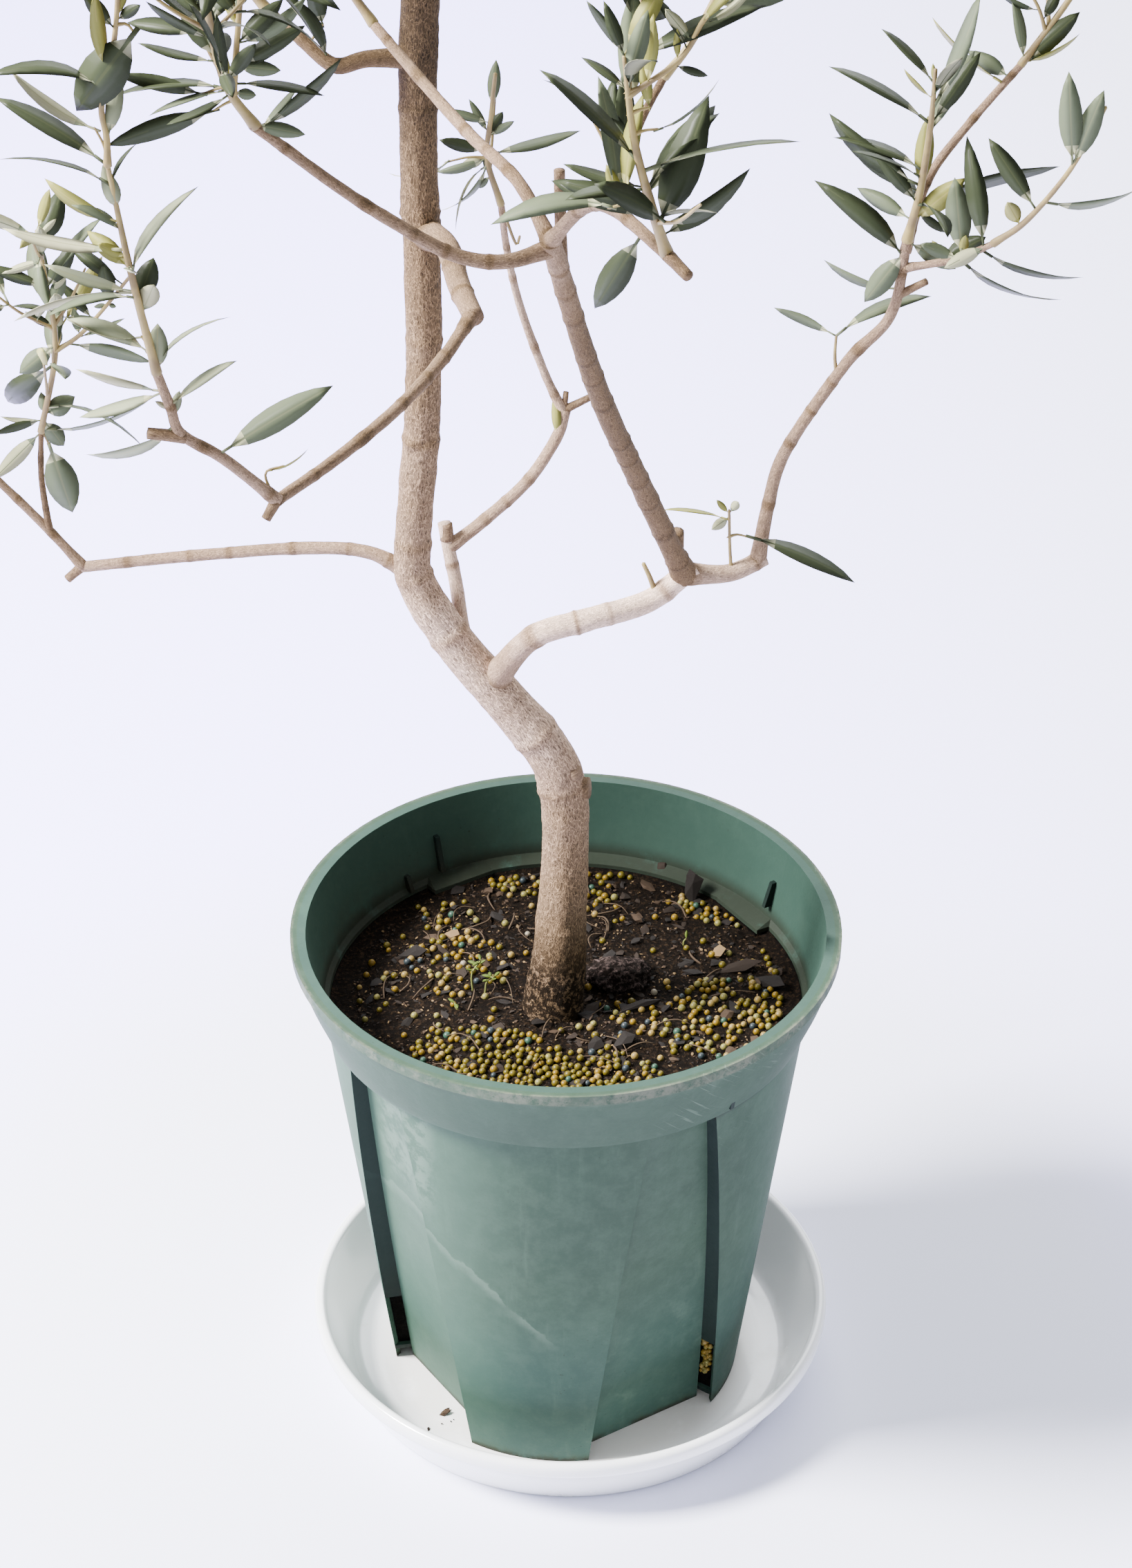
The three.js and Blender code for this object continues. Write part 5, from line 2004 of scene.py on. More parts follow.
    def build(self) -> None:
        """Build the shoots and the leaves, each kind joined into one piece."""
        wood = Shape()
        for number, spray in enumerate(self.sprays):
            form = Wood(10, relief=0.1, girth=0.05, collar=0.2, collar_at=2.0, collar_fade=4.0, blunt=0.5)
            form.build(wood, spray.stem, 100 + number)
            for count, shoot in enumerate(spray.shoots):
                form = Wood(6, collar=0.2, collar_at=1.5, collar_fade=3.0, blunt=0.5)
                form.build(wood, shoot, 200 + number + count)
        form = Wood(7, relief=0.05, girth=0.03, collar=0.2, collar_at=1.5, collar_fade=3.0, blunt=0.5)
        for count, stalk in enumerate(self.stalks):
            form.build(wood, stalk, 250.0 + count)
        shoots = put("shoots", wood.mesh("shoots"), YoungBark().material())
        mount(shoots, "bark")
        forms = [blade.mesh("leaf_form") for blade in BLADES]
        for kind in Kind:
            leaves = self.seen + [leaf for spray in self.sprays for leaf in spray.leaves]
            bits = [bit for of_kind, bit in leaves if of_kind is kind]
            colours = LEAF_COLOURS[kind].materials(f"leaf_{kind.value}")
            piece = Scatter(f"leaves_{kind.value}", forms, colours).build(bits)
            mount(piece, "leaf", *(plan.name for plan in MASSES if kind is Kind.DEEP))


@dataclass(frozen=True)
class YoungBark:
    """Smooth tan bark of this year's shoots."""

    tan: Colour = (0.155, 0.106, 0.043)
    green: Colour = (0.27, 0.20, 0.065)

    def material(self) -> bpy.types.Material:
        """Build the material.

        Returns:
            The material.
        """
        tree = Finish("young_bark")
        colour = tree.layered(self.tan, (tree.cloud(60.0, 3.0).rise(0.35, 0.65), self.green))
        normal = tree.relief((tree.cloud(500.0, 3.0), 0.0002))
        return tree.finish(colour, 0.6, Normal=normal, Specular_IOR_Level=0.35)


BLADES = (
    Blade(),
    Blade(arch=0.1, twist=0.25),
    Blade(fold=0.22, arch=-0.04, sway=0.03),
    Blade(fold=0.1, arch=0.16, twist=-0.35, sway=-0.04),
)


# Saucer, pot and soil


@dataclass
class Saucer:
    """The round saucer: a flared wall with a proud round lip and a floor with a faint ring."""

    shift: float = 2.6
    lip_radius: float = 149.0
    inner_radius: float = 142.6
    height: float = 42.0
    lip_height: float = 9.0
    base_radius: float = 130.0
    wall: float = 3.0
    foot_ring: float = 112.0
    sides: int = 192

    def outline(self) -> list[Pair]:
        """Return the section: radius and height, from the middle of the underside to the floor.

        Returns:
            The points of the section.
        """
        top, lip = self.height, self.height - self.lip_height
        outer = self.lip_radius
        lip_foot = outer - 4.0
        points = [(0.0, 0.0), (self.base_radius - 8, 0.0), (self.base_radius - 2.2, 0.0),
                  (self.base_radius - 0.6, 0.6), (self.base_radius, 2.0)]
        points += [(lerp(self.base_radius, lip_foot, t), lerp(2.0, lip - 1.2, t)) for t in (0.3, 0.65, 1)]
        points += [(lip_foot + 0.8, lip - 0.4), (outer - 1.2, lip), (outer - 0.3, lip + 0.6),
                   (outer, lip + 1.8)]
        middle = (outer + self.inner_radius) / 2
        half = (outer - self.inner_radius) / 2
        for degrees in range(0, 181, 22):
            angle = math.radians(degrees)
            points.append((middle + half * math.cos(angle), top - half + half * math.sin(angle)))
        floor_edge = self.base_radius - self.wall - 1.5
        points += [(lerp(self.inner_radius, floor_edge + 2.4, t), lerp(top - half, self.wall + 5, t))
                   for t in (0.08, 0.4, 0.75, 1)]
        points += [(floor_edge + 0.9, self.wall + 2.2), (floor_edge - 1.4, self.wall + 0.6),
                   (floor_edge - 4.5, self.wall), (self.foot_ring + 3, self.wall),
                   (self.foot_ring + 1.4, self.wall + 0.24), (self.foot_ring - 1.4, self.wall + 0.24),
                   (self.foot_ring - 3, self.wall), (60.0, self.wall), (0.0, self.wall)]
        return points

    def build(self) -> None:
        """Build and dress the saucer."""
        shape = Shape()
        outline = self.outline()
        starts = []
        for radius, height in outline[1:-1]:
            ring = [vec(self.shift + radius * math.cos(TURN * k / self.sides),
                        radius * math.sin(TURN * k / self.sides), height) for k in range(self.sides)]
            starts.append(shape.add(ring))
        shape.stack(starts, self.sides)
        middle = (vec(self.shift, 0, height) for _, height in (outline[0], outline[-1]))
        shape.close(starts, self.sides, *middle)
        piece = put("saucer_shell", shape.mesh("saucer_shell"), SaucerGlaze().material())
        shade_by_angle(piece, 50)
        mount(piece, "glazed", "saucer")


@dataclass(frozen=True)
class Level:
    """One ring of the pot: its height, a round radius or none, and how far it is moved in."""

    z: float
    round: float | None = None
    inset: float = 0.0


@dataclass
class Pot:
    """The nursery pot: round rim and band over a wall of flats, sectors and grooves with slits."""

    turn: float = -12.0
    rim_radius: float = 150.0
    rim_top: float = 302.0
    rim_height: float = 6.0
    rim_inner: float = 141.6
    band_top: float = 149.0
    band_bottom_radius: float = 134.5
    band_inner: float = 132.9
    band_bottom: float = 256.0
    foot: float = 3.3
    wall: float = 2.6
    floor_underside: float = 10.0
    floor_top: float = 13.0
    front: Pair = (127.5, 104.0)
    sector: Pair = (133.0, 100.5)
    flat: Pair = (124.5, 83.0)
    flat_faces: float = 44.0
    crease: Pair = (33.0, 19.0)
    groove: Pair = (48.5, 68.0)
    least_step: float = 0.2
    front_steps: int = 12
    flat_steps: int = 4
    sector_steps: int = 12
    slit_height: float = 56.0
    slit_levels: tuple[float, ...] = (13.0, 34.0, 56.0)
    ribs: tuple[tuple[float, float, float], ...] = (
        (-147.0, 261.0, 282.0), (-137.0, 257.0, 266.0), (121.0, 266.0, 281.0), (40.0, 258.0, 272.0),
    )
    easing: float = 0.8
    easing_angle: float = 22.0
    rib_half_width: float = 1.3
    rib_reach: Pair = (5.0, 3.0)
    rib_sink: float = 3.0
    groove_faces: float = 0.5

    def at(self, size: Pair, z: float) -> float:
        """Return a size that runs from the band's foot to the pot's foot, at a height."""
        return lerp(size[0], size[1], (self.band_bottom - z) / (self.band_bottom - self.foot))

    def quarter(self, z: float, inset: float) -> list[Pair]:
        """Return one quarter of the wall's plan.

        Args:
            z: The height.
            inset: How far the plan is moved in.

        Returns:
            Angles and radii from the front towards the side.
        """
        front, sector = self.at(self.front, z), self.at(self.sector, z)
        crease = self.at(self.crease, z) - math.degrees(inset / front)
        groove = self.at(self.groove, z) + math.degrees(inset / sector)

        def flat(angle: float) -> float:
            """Return the radius of the flat panel at an angle."""
            return self.at(self.flat, z) / math.cos(math.radians(self.flat_faces - angle))

        places = [(crease * i / self.front_steps, front) for i in range(self.front_steps + 1)]
        places.append((crease, min(flat(crease), front - self.least_step)))
        for i in range(1, self.flat_steps + 1):
            angle = lerp(crease, groove, i / self.flat_steps)
            places.append((angle, flat(angle)))
        for i in range(self.sector_steps + 1):
            places.append((lerp(groove, 90.0, i / self.sector_steps), sector))
        return [(angle, radius - inset) for angle, radius in places]

    def ring(self, level: Level) -> list[np.ndarray]:
        """Return the corners of one level.

        Args:
            level: The level.

        Returns:
            The corners, from the front round to the right.
        """
        quarter = self.quarter(min(level.z, self.band_bottom), level.inset)
        back = [(180 - angle, radius) for angle, radius in reversed(quarter[:-1])]
        half = quarter + back
        other = [(360 - angle, radius) for angle, radius in reversed(half[1:-1])]
        corners = []
        for angle, radius in half + other:
            bearing = math.radians(angle + self.turn)
            reach = radius if level.round is None else level.round
            corners.append(vec(reach * math.sin(bearing), -reach * math.cos(bearing), level.z))
        return corners

    @property
    def sides_of_grooves(self) -> list[int]:
        """Return the corners of a ring at which the sides of the grooves start.

        Returns:
            One corner for each of the four sides.
        """
        first = self.front_steps + self.flat_steps + 1
        quarter = first + self.sector_steps + 1
        return [first, 2 * quarter - first - 1, 2 * quarter + first, 4 * quarter - first - 1]

    def shell(self, outer: list[Level], inner: list[Level]) -> Shape:
        """Return the closed shell, with windows in the sides of its grooves low down.

        Args:
            outer: The levels outside, upwards and over the rim.
            inner: The levels inside, downwards.

        Returns:
            The shell.
        """
        shape = Shape()
        under = [Level(self.floor_underside, inset=self.wall), Level(self.foot, inset=self.wall)]
        levels = under + outer + inner
        starts = [shape.add(self.ring(level)) for level in levels]
        count = len(shape.corners) // len(levels)
        for number, (lower, upper) in enumerate(zip(starts, starts[1:])):
            pair = levels[number], levels[number + 1]
            low = max(level.z for level in pair) <= self.slit_height
            edge = pair == (Level(self.floor_underside), Level(self.floor_top))
            for k in range(count):
                if not (low and not edge and k in self.sides_of_grooves):
                    after = (k + 1) % count
                    shape.face(lower + k, lower + after, upper + after, upper + k)
        shape.close(starts, count, vec(0, 0, levels[0].z), vec(0, 0, levels[-1].z))
        steps = len(self.slit_levels)
        for k in self.sides_of_grooves:
            self._line_window(shape, starts[2:4], starts[1::-1], k)
            self._line_window(shape, starts[4:4 + steps], starts[:-steps - 1:-1], k)
            shape.face(starts[4] + k, starts[4] + k + 1, starts[-1] + k + 1, starts[-1] + k)
        return shape

    @staticmethod
    def _line_window(shape: Shape, outer: list[int], inner: list[int], corner: int) -> None:
        """Close the wall's cut edges at both sides of a window and over it.

        Args:
            shape: The pot.
            outer: The first corners of the rings outside, upwards.
            inner: The first corners of the rings inside, upwards.
            corner: The corner at which the window starts.
        """
        after = corner + 1
        shape.face(*(start + corner for start in [*outer[::-1], *inner]))
        shape.face(*(start + after for start in [*outer, *inner[::-1]]))
        shape.face(outer[-1] + after, outer[-1] + corner, inner[-1] + corner, inner[-1] + after)

    def build(self) -> None:
        """Build the pot with its eased edges and slits, and dress it."""
        lip = self.rim_top - self.rim_height
        wall = np.linspace(self.band_bottom, self.slit_height, 10).tolist()[:-1]
        outer = [
            Level(self.foot), Level(self.floor_underside), *(Level(z) for z in self.slit_levels),
            *(Level(z) for z in reversed(wall)),
            Level(self.band_bottom + 0.01, self.band_bottom_radius),
            Level(lerp(self.band_bottom, lip, 0.5), lerp(self.band_bottom_radius, self.band_top, 0.55)),
            Level(lip - 0.8, self.band_top - 0.2), Level(lip, self.rim_radius - 0.1),
            Level(self.rim_top - 0.01, self.rim_radius),
        ]
        inner = [
            Level(self.rim_top, self.rim_inner),
            Level(lerp(self.rim_top, self.band_bottom, 0.5), lerp(self.rim_inner, self.band_inner, 0.5)),
            Level(self.band_bottom + self.wall, self.band_inner),
            *(Level(z, inset=self.wall) for z in [*wall, *reversed(self.slit_levels)]),
        ]
        # A darker copy of the pot's finish, which paints the shade on the sides of the grooves and slits and
        # on the inner ribs.
        groove = PotPlastic("pot_groove_shade", (0.0055, 0.0125, 0.010), (0.0075, 0.016, 0.013),
                            (0.0085, 0.018, 0.014), (0.014, 0.025, 0.02), low=(0.005, 0.011, 0.009))
        piece = put("pot_shell", self.shell(outer, inner).mesh("pot_shell"), PotPlastic().material(),
                    groove.material())
        self._ease(piece)
        self._paint_groove_shade(piece)
        self._add_notches(piece)
        shade_by_angle(piece, 24)
        mount(piece, "plastic", "pot")

    def _ease(self, piece: bpy.types.Object) -> None:
        """Merge doubled corners and round the edges that a finger would feel.

        Args:
            piece: The pot.
        """
        with editing(piece.data) as mesh:
            bmesh.ops.remove_doubles(mesh, verts=mesh.verts, dist=1e-6)
        bevel = piece.modifiers.new("ease", "BEVEL")
        bevel.width = self.easing * MM
        bevel.segments = 3
        bevel.limit_method = "ANGLE"
        bevel.angle_limit = math.radians(self.easing_angle)
        bevel.use_clamp_overlap = True
        settle(piece)

    def _paint_groove_shade(self, piece: bpy.types.Object) -> None:
        """Paint shade on the sides of the grooves and slits by giving them the darker copy of the finish.

        Args:
            piece: The pot.
        """
        for face in piece.data.polygons:
            out = Vector((face.center.x, face.center.y, 0.0)).normalized()
            low = face.center.z < self.floor_top * MM
            upright = low or abs(face.normal.z) < self.groove_faces
            if upright and abs(face.normal @ out) < self.groove_faces:
                face.material_index = int(face.center.z < self.band_bottom * MM)

    def _add_notches(self, piece: bpy.types.Object) -> None:
        """Add the upright stacking ribs that stand on the ledge inside the rim, in the darker finish of
        painted shade.

        Args:
            piece: The pot.
        """
        shape = Shape()
        for rib in self.ribs:
            self._add_rib(shape, *rib)
        # The ribs take the darker copy of the finish: painted shade.
        shape.dress = [1] * len(shape.faces)
        ribs = shape.mesh("ribs")
        with editing(piece.data) as mesh:
            mesh.from_mesh(ribs)
        bpy.data.meshes.remove(ribs)

    def _add_rib(self, shape: Shape, bearing: float, foot: float, head: float) -> None:
        """Add one small upright rib that is sunk into the inner wall.

        Args:
            shape: The shape that gathers the ribs.
            bearing: Its angle from the front, in degrees.
            foot: The height of its lower end.
            head: The height of its upper end.
        """
        angle = math.radians(bearing)
        out = vec(math.sin(angle), -math.cos(angle), 0)
        side = vec(math.cos(angle), math.sin(angle), 0) * self.rib_half_width
        starts = []
        for z, inner in zip((foot, head), self.rib_reach):
            share = (z - self.band_bottom) / (self.rim_top - self.band_bottom)
            wall = lerp(self.band_inner, self.rim_inner, share)
            near, far = wall - inner, wall + self.rib_sink
            corners = ((near, -1), (near, 1), (far, 1), (far, -1))
            starts.append(shape.add([out * reach + side * way + vec(0, 0, z) for reach, way in corners]))
        shape.stack(starts, 4)
        shape.face(*(starts[0] + k for k in (3, 2, 1, 0)))
        shape.face(*(starts[1] + k for k in range(4)))


@dataclass
class Soil:
    """Dark potting mix with a clodded top."""

    pot: Pot
    view: Viewpoint
    edge: float = 254.0
    top: float = 259.0
    plateau: float = 60.0
    gap: float = 0.3
    rings: int = 70
    sink: float = 1.2
    lump: float = 2.1
    clods: tuple[Pair, ...] = ((0.62, 0.05), (0.5, 0.14), (0.3, 0.4))
    slope_end: float = 125.0
    lumps_end: float = 126.0
    lumps_fade: float = 8.0

    def height(self, x: float, y: float) -> float:
        """Return the height of the soil's surface at a place, in millimetres.

        Args:
            x: The place across.
            y: The place in depth.

        Returns:
            The height.
        """
        radius = math.hypot(x, y)
        share = clamp((radius - self.plateau) / (self.slope_end - self.plateau), 0.0, 1.0)
        base = lerp(self.top, self.edge, share)
        place = vec(x, y, 0.0)
        clods = sum(share * noise_at(place, waves) for share, waves in self.clods)
        fade = clamp((self.lumps_end - radius) / self.lumps_fade, 0.0, 1.0)
        return base - self.sink + self.lump * clods * fade

    def build(self) -> None:
        """Build and dress the soil and everything that lies on it."""
        inset = self.pot.wall + self.gap
        floor = self.pot.floor_top + self.gap
        levels = [Level(z, inset=inset) for z in np.linspace(floor, self.edge, 6)]
        shape = Shape()
        starts = [shape.add(self.pot.ring(level)) for level in levels]
        edge = self.pot.ring(levels[-1])
        count = len(edge)
        for step in range(1, self.rings):
            share = 1 - step / self.rings
            ring = [vec(p[0] * share, p[1] * share, self.height(p[0] * share, p[1] * share))
                    for p in edge]
            starts.append(shape.add(ring))
        shape.stack(starts, count)
        shape.close(starts, count, vec(0, 0, floor), vec(0, 0, self.height(0, 0)))
        piece = put("soil_bed", shape.mesh("soil_bed"), Earth().material())
        mount(piece, "soil", "soil")
        Litter(self).build()


@dataclass(frozen=True)
class Drift:
    """A patch of feed beads: middle and half widths in pixels of the photograph, and how many."""

    middle: Pair
    spread: Pair
    count: int
    mix: tuple[float, ...] = (0.34, 0.26, 0.22, 0.12, 0.03, 0.02, 0.01)


@dataclass
class Litter:
    """What lies on the soil: feed beads, bark chips, crumbs, roots, a lump of bark, seedlings."""

    soil: Soil
    seed: int = 41
    level: float = 257.0
    reach: float = 118.5
    trunk: Pair = (-6.0, -14.0)
    trunk_clear: float = 23.0
    bead: Pair = (3.2, 4.5)
    bead_apart: float = 0.86
    slit_beads: int = 52
    chips: int = 300
    crumbs: int = 3600
    crumb_reach: float = 120.0
    roots: int = 56
    root_reach: float = 112.0
    lump_pixel: Pair = (897, 1418)
    lump_size: Colour = (18.5, 13.0, 9.0)
    drifts: tuple[Drift, ...] = (
        Drift((800, 1550), (165, 30), 290, (0.72, 0.14, 0.06, 0.03, 0.03, 0.015, 0.005)),
        Drift((690, 1516), (95, 28), 70, (0.6, 0.2, 0.1, 0.04, 0.04, 0.02, 0.0)),
        Drift((664, 1397), (85, 45), 62, (0.3, 0.36, 0.22, 0.06, 0.04, 0.02, 0.0)),
        Drift((641, 1322), (60, 35), 16), Drift((751, 1262), (45, 35), 26),
        Drift((861, 1290), (22, 45), 12), Drift((907, 1248), (75, 18), 32),
        Drift((1058, 1300), (75, 34), 64), Drift((1141, 1351), (40, 60), 80),
        Drift((1162, 1430), (24, 50), 46), Drift((1123, 1471), (40, 28), 38),
        Drift((1058, 1448), (80, 35), 60), Drift((1022, 1500), (65, 32), 42),
        Drift((916, 1475), (95, 24), 32), Drift((560, 1400), (50, 60), 9),
        Drift((820, 1400), (330, 170), 80),
    )
    bead_colours: tuple[Colour, ...] = (
        (0.085, 0.064, 0.0045), (0.14, 0.085, 0.005), (0.185, 0.125, 0.032), (0.15, 0.132, 0.034),
        (0.019, 0.026, 0.029), (0.024, 0.056, 0.036), (0.2, 0.17, 0.12),
    )
    chip_colours: tuple[Colour, ...] = (
        (0.0055, 0.0034, 0.0022), (0.013, 0.0075, 0.004), (0.032, 0.0185, 0.0095), (0.13, 0.082, 0.036),
    )

    def build(self) -> None:
        """Build and dress everything."""
        self.draw = stream_of(self.seed)
        noise.seed_set(self.seed)
        self.taken: list[np.ndarray] = []
        beads = [bit for drift in self.drifts for bit in self._beads(drift)] + self._slit_beads()
        self._scatter("feed_beads", [self._bead_form()], self.bead_colours, beads, 0.4)
        chips = [self._chip(3.5, 8.0, 0.4, (0, 0, 0, 1, 1, 2)) for _ in range(self.chips)]
        chips += [self._chip(1.0, 1.6, 0.75, (0, 1, 2, 2, 3)) for _ in range(self.crumbs)]
        chips += self._placed_chips()
        self._scatter("bark_chips", [self._chip_form(i) for i in range(4)], self.chip_colours, chips, 0.85)
        self._add_roots()
        self._add_lump()
        self._add_seedlings()

    @staticmethod
    def _scatter(name: str, forms: list[bpy.types.Mesh], colours: Sequence[Colour], bits: list[Bit],
                 roughness: float) -> None:
        """Set out one kind of bit.

        Args:
            name: The piece's name.
            forms: The forms to choose from.
            colours: The colours to choose from.
            bits: What is set out.
            roughness: The roughness of all of it.
        """
        materials = [Plain(f"{name}_{i}", colour, roughness, 0.25).material()
                     for i, colour in enumerate(colours)]
        mount(Scatter(name, forms, materials).build(bits), "soil")

    def _on_soil(self, x: float, y: float, up: float = 0.0) -> np.ndarray:
        """Return a point above or on the soil's surface."""
        return vec(x, y, self.soil.height(x, y) + up)

    def _behind(self, pixel: Pair, up: float = 0.0) -> np.ndarray:
        """Return the point of the soil that the photograph shows at a pixel."""
        place = self.soil.view.on_level(pixel, self.level)
        return self._on_soil(place[0], place[1], up)

    def _drawn(self, across: float, deep: float | None = None) -> Pair:
        """Return an evenly drawn place in a circle or an ellipse, from its middle."""
        far, turn = math.sqrt(self.draw()), TURN * self.draw()
        return across * far * math.cos(turn), (deep or across) * far * math.sin(turn)

    def _free(self, place: np.ndarray, radius: float) -> bool:
        """Tell whether a bead fits between the pot's wall, the trunk and the other beads.

        Args:
            place: The bead's middle.
            radius: Its radius.

        Returns:
            Whether it fits.
        """
        if math.hypot(*place[:2]) > self.reach or math.dist(place[:2], self.trunk) < self.trunk_clear:
            return False
        others = np.array(self.taken).reshape(-1, 3)
        gaps = np.hypot(others[:, 0] - place[0], others[:, 1] - place[1])
        return bool((gaps > self.bead_apart * (others[:, 2] + radius)).all())

    def _beads(self, drift: Drift) -> list[Bit]:
        """Return the beads of one drift.

        Args:
            drift: The drift.

        Returns:
            The beads.
        """
        bits = []
        shares = np.cumsum(drift.mix)
        for _ in range(drift.count):
            for _ in range(6):
                spot = self._drawn(*drift.spread)
                pixel = (drift.middle[0] + spot[0], drift.middle[1] + spot[1])
                size = lerp(*self.bead, self.draw())
                place = self._behind(pixel, size * 0.22)
                if self._free(place, size / 2):
                    break
            else:
                continue
            self.taken.append(vec(place[0], place[1], size / 2))
            bits.append(self._bead_at(place, size, int(np.searchsorted(shares, self.draw() * 0.999))))
        return bits

    @staticmethod
    def _bead_at(place: np.ndarray, size: float, dress: int) -> Bit:
        """Return a bead."""
        return Bit(place, vec(1, 0, 0), vec(0, 0, 1), vec(size, size, size), 0, dress)

    def _slit_beads(self) -> list[Bit]:
        """Return the beads and crumbs that show in the slit on the right, against the soil inside.

        Returns:
            The beads.
        """
        pot = self.soil.pot
        bits = []
        for _ in range(self.slit_beads):
            z = lerp(26.0, 55.0, self.draw())
            groove, sector = pot.at(pot.groove, z), pot.at(pot.sector, z)
            low = pot.at(pot.flat, z) / math.cos(math.radians(pot.flat_faces - groove))
            reach = lerp(low + 0.5, sector - pot.wall - 1.2, self.draw())
            angle = math.radians(groove + pot.turn) + (pot.wall - 0.2 - 1.2 * self.draw()) / reach
            place = vec(reach * math.sin(angle), -reach * math.cos(angle), z)
            bits.append(self._bead_at(place, lerp(1.6, 3.6, self.draw()), int(self.draw() * 4)))
        return bits

    def _chip(self, least: float, play: float, flat: float, dresses: Sequence[int]) -> Bit:
        """Return one chip or crumb at a drawn place.

        Args:
            least: Its least length.
            play: How much longer it can be.
            flat: Its thickness as a share of its width.
            dresses: The numbers of the colours that it can have.

        Returns:
            The chip.
        """
        spot = self._drawn(self.crumb_reach)
        length = least + play * self.draw() ** 2
        width = length * lerp(0.35, 0.75, self.draw())
        along = unit(heading(360 * self.draw(), 36 * (self.draw() - 0.5)))
        up = turned(unit(np.cross(along, vec(along[1], -along[0], 0))), along, 0.9 * (self.draw() - 0.5))
        up = up if up[2] > 0 else -up
        place = self._on_soil(*spot, width * flat * 0.25)
        dress = dresses[int(self.draw() * len(dresses))]
        return Bit(place, along, up, vec(length, width, width * flat), int(self.draw() * 4), dress)

    def _placed_chips(self) -> list[Bit]:
        """Return the chips that stand out in the photograph.

        Returns:
            The chips.
        """
        rows = (
            ((1002, 1290), 60, 58, (21, 10, 8), 0), ((1118, 1420), -35, 6, (20, 9, 4), 0),
            ((1070, 1398), 12, 6, (24, 7, 4), 1), ((925, 1462), 12, 8, (26, 5, 4), 0),
            ((862, 1515), 40, 10, (12, 8, 5), 0), ((905, 1512), 25, 12, (14, 9, 6), 0),
            ((656, 1356), -30, 10, (8, 6, 5), 3), ((960, 1255), 60, 20, (12, 8, 6), 1),
            ((922, 1332), -70, 10, (11, 4, 3), 2), ((600, 1378), 8, 8, (17, 8, 4), 0),
            ((1040, 1378), 0, 20, (8, 7, 4), 3), ((1052, 1468), 20, 14, (9, 7, 4), 2),
        )
        fallen = (
            (-69.1, -65.4, 7.0, 2), (-68.0, -63.0, 4.0, 1), (-78.6, -78.4, 3.0, 1),
            (-71.0, -74.0, 1.6, 1), (-66.0, -72.0, 1.4, 0), (-64.5, -70.5, 1.2, 0),
        )
        bits = []
        for pixel, bearing, rise, size, dress in rows:
            along = heading(bearing, rise)
            up = unit(np.cross(along, np.cross(vec(0.1, -0.4, 1.0), along)))
            place = self._behind(pixel, size[0] / 2 * math.sin(math.radians(rise)) * 0.8 + size[2] * 0.3)
            bits.append(Bit(place, along, up, vec(*size), len(bits) % 4, dress))
        for x, y, size, dress in fallen:
            place = vec(x, y, 3.2 + size * 0.15)
            shape = vec(size, size * 0.55, size * 0.4)
            bits.append(Bit(place, heading(x * 31, 8), vec(0, 0, 1), shape, 1, dress))
        return bits

    @staticmethod
    def _bead_form() -> bpy.types.Mesh:
        """Return a bead, 1 across.

        Returns:
            The form.
        """
        form = bpy.data.meshes.new("bead_form")
        with editing(form) as mesh:
            bmesh.ops.create_uvsphere(mesh, u_segments=8, v_segments=6, radius=0.5)
            for face in mesh.faces:
                face.smooth = True
        return form

    @staticmethod
    def _chip_form(seed: int) -> bpy.types.Mesh:
        """Return a broken chip, 1 long, wide and thick.

        Args:
            seed: Moves the pattern of its breaks.

        Returns:
            The form.
        """
        form = bpy.data.meshes.new("chip_form")
        with editing(form) as mesh:
            bmesh.ops.create_icosphere(mesh, subdivisions=1, radius=0.5)
            for vertex in mesh.verts:
                vertex.co += noise.noise_vector(vertex.co * 3 + Vector((seed * 7.3, 0, 0))) * 0.3
        return form

    def _add_roots(self) -> None:
        """Lay thin dead roots and fibres on the soil."""
        shape = Shape()
        for number in range(self.roots):
            start = self._on_soil(*self._drawn(self.root_reach), 0.6)
            bearing, reach = 360 * self.draw(), lerp(4.0, 9.0, self.draw())
            bend = 80 * (self.draw() - 0.5)
            corners = corners_of(start, ((bearing, 16, reach), (bearing + bend, 4, reach),
                                         (bearing + 2 * bend, -18, reach)))
            radius = lerp(0.3, 0.65, self.draw())
            limb = Limb.through(corners, [radius, radius, radius * 0.8, radius * 0.5])
            Wood(5).build(shape, limb, 300.0 + number)
        fibre = Plain("dead_root", (0.05, 0.032, 0.018), 0.8, 0.2).material()
        mount(put("dead_roots", shape.mesh("dead_roots"), fibre), "soil")

    def _add_lump(self) -> None:
        """Build the lump of charred bark beside the trunk."""
        middle = Vector(self._behind(self.lump_pixel, 3.0))
        form = bpy.data.meshes.new("bark_lump")
        with editing(form) as mesh:
            bmesh.ops.create_icosphere(mesh, subdivisions=5, radius=1.0)
            for vertex in mesh.verts:
                rough = sum(noise.noise(vertex.co * waves) * depth
                            for waves, depth in ((1.7, 0.22), (5.0, 0.12), (13.0, 0.06)))
                vertex.co = (vertex.co * (1 + rough) * Vector(self.lump_size) + middle) * MM
            for face in mesh.faces:
                face.smooth = True
        charred = Earth("charred_bark", (0.006, 0.004, 0.003), (0.12, 0.085, 0.075), 0.46)
        mount(put("bark_lump", form, charred.material()), "soil")

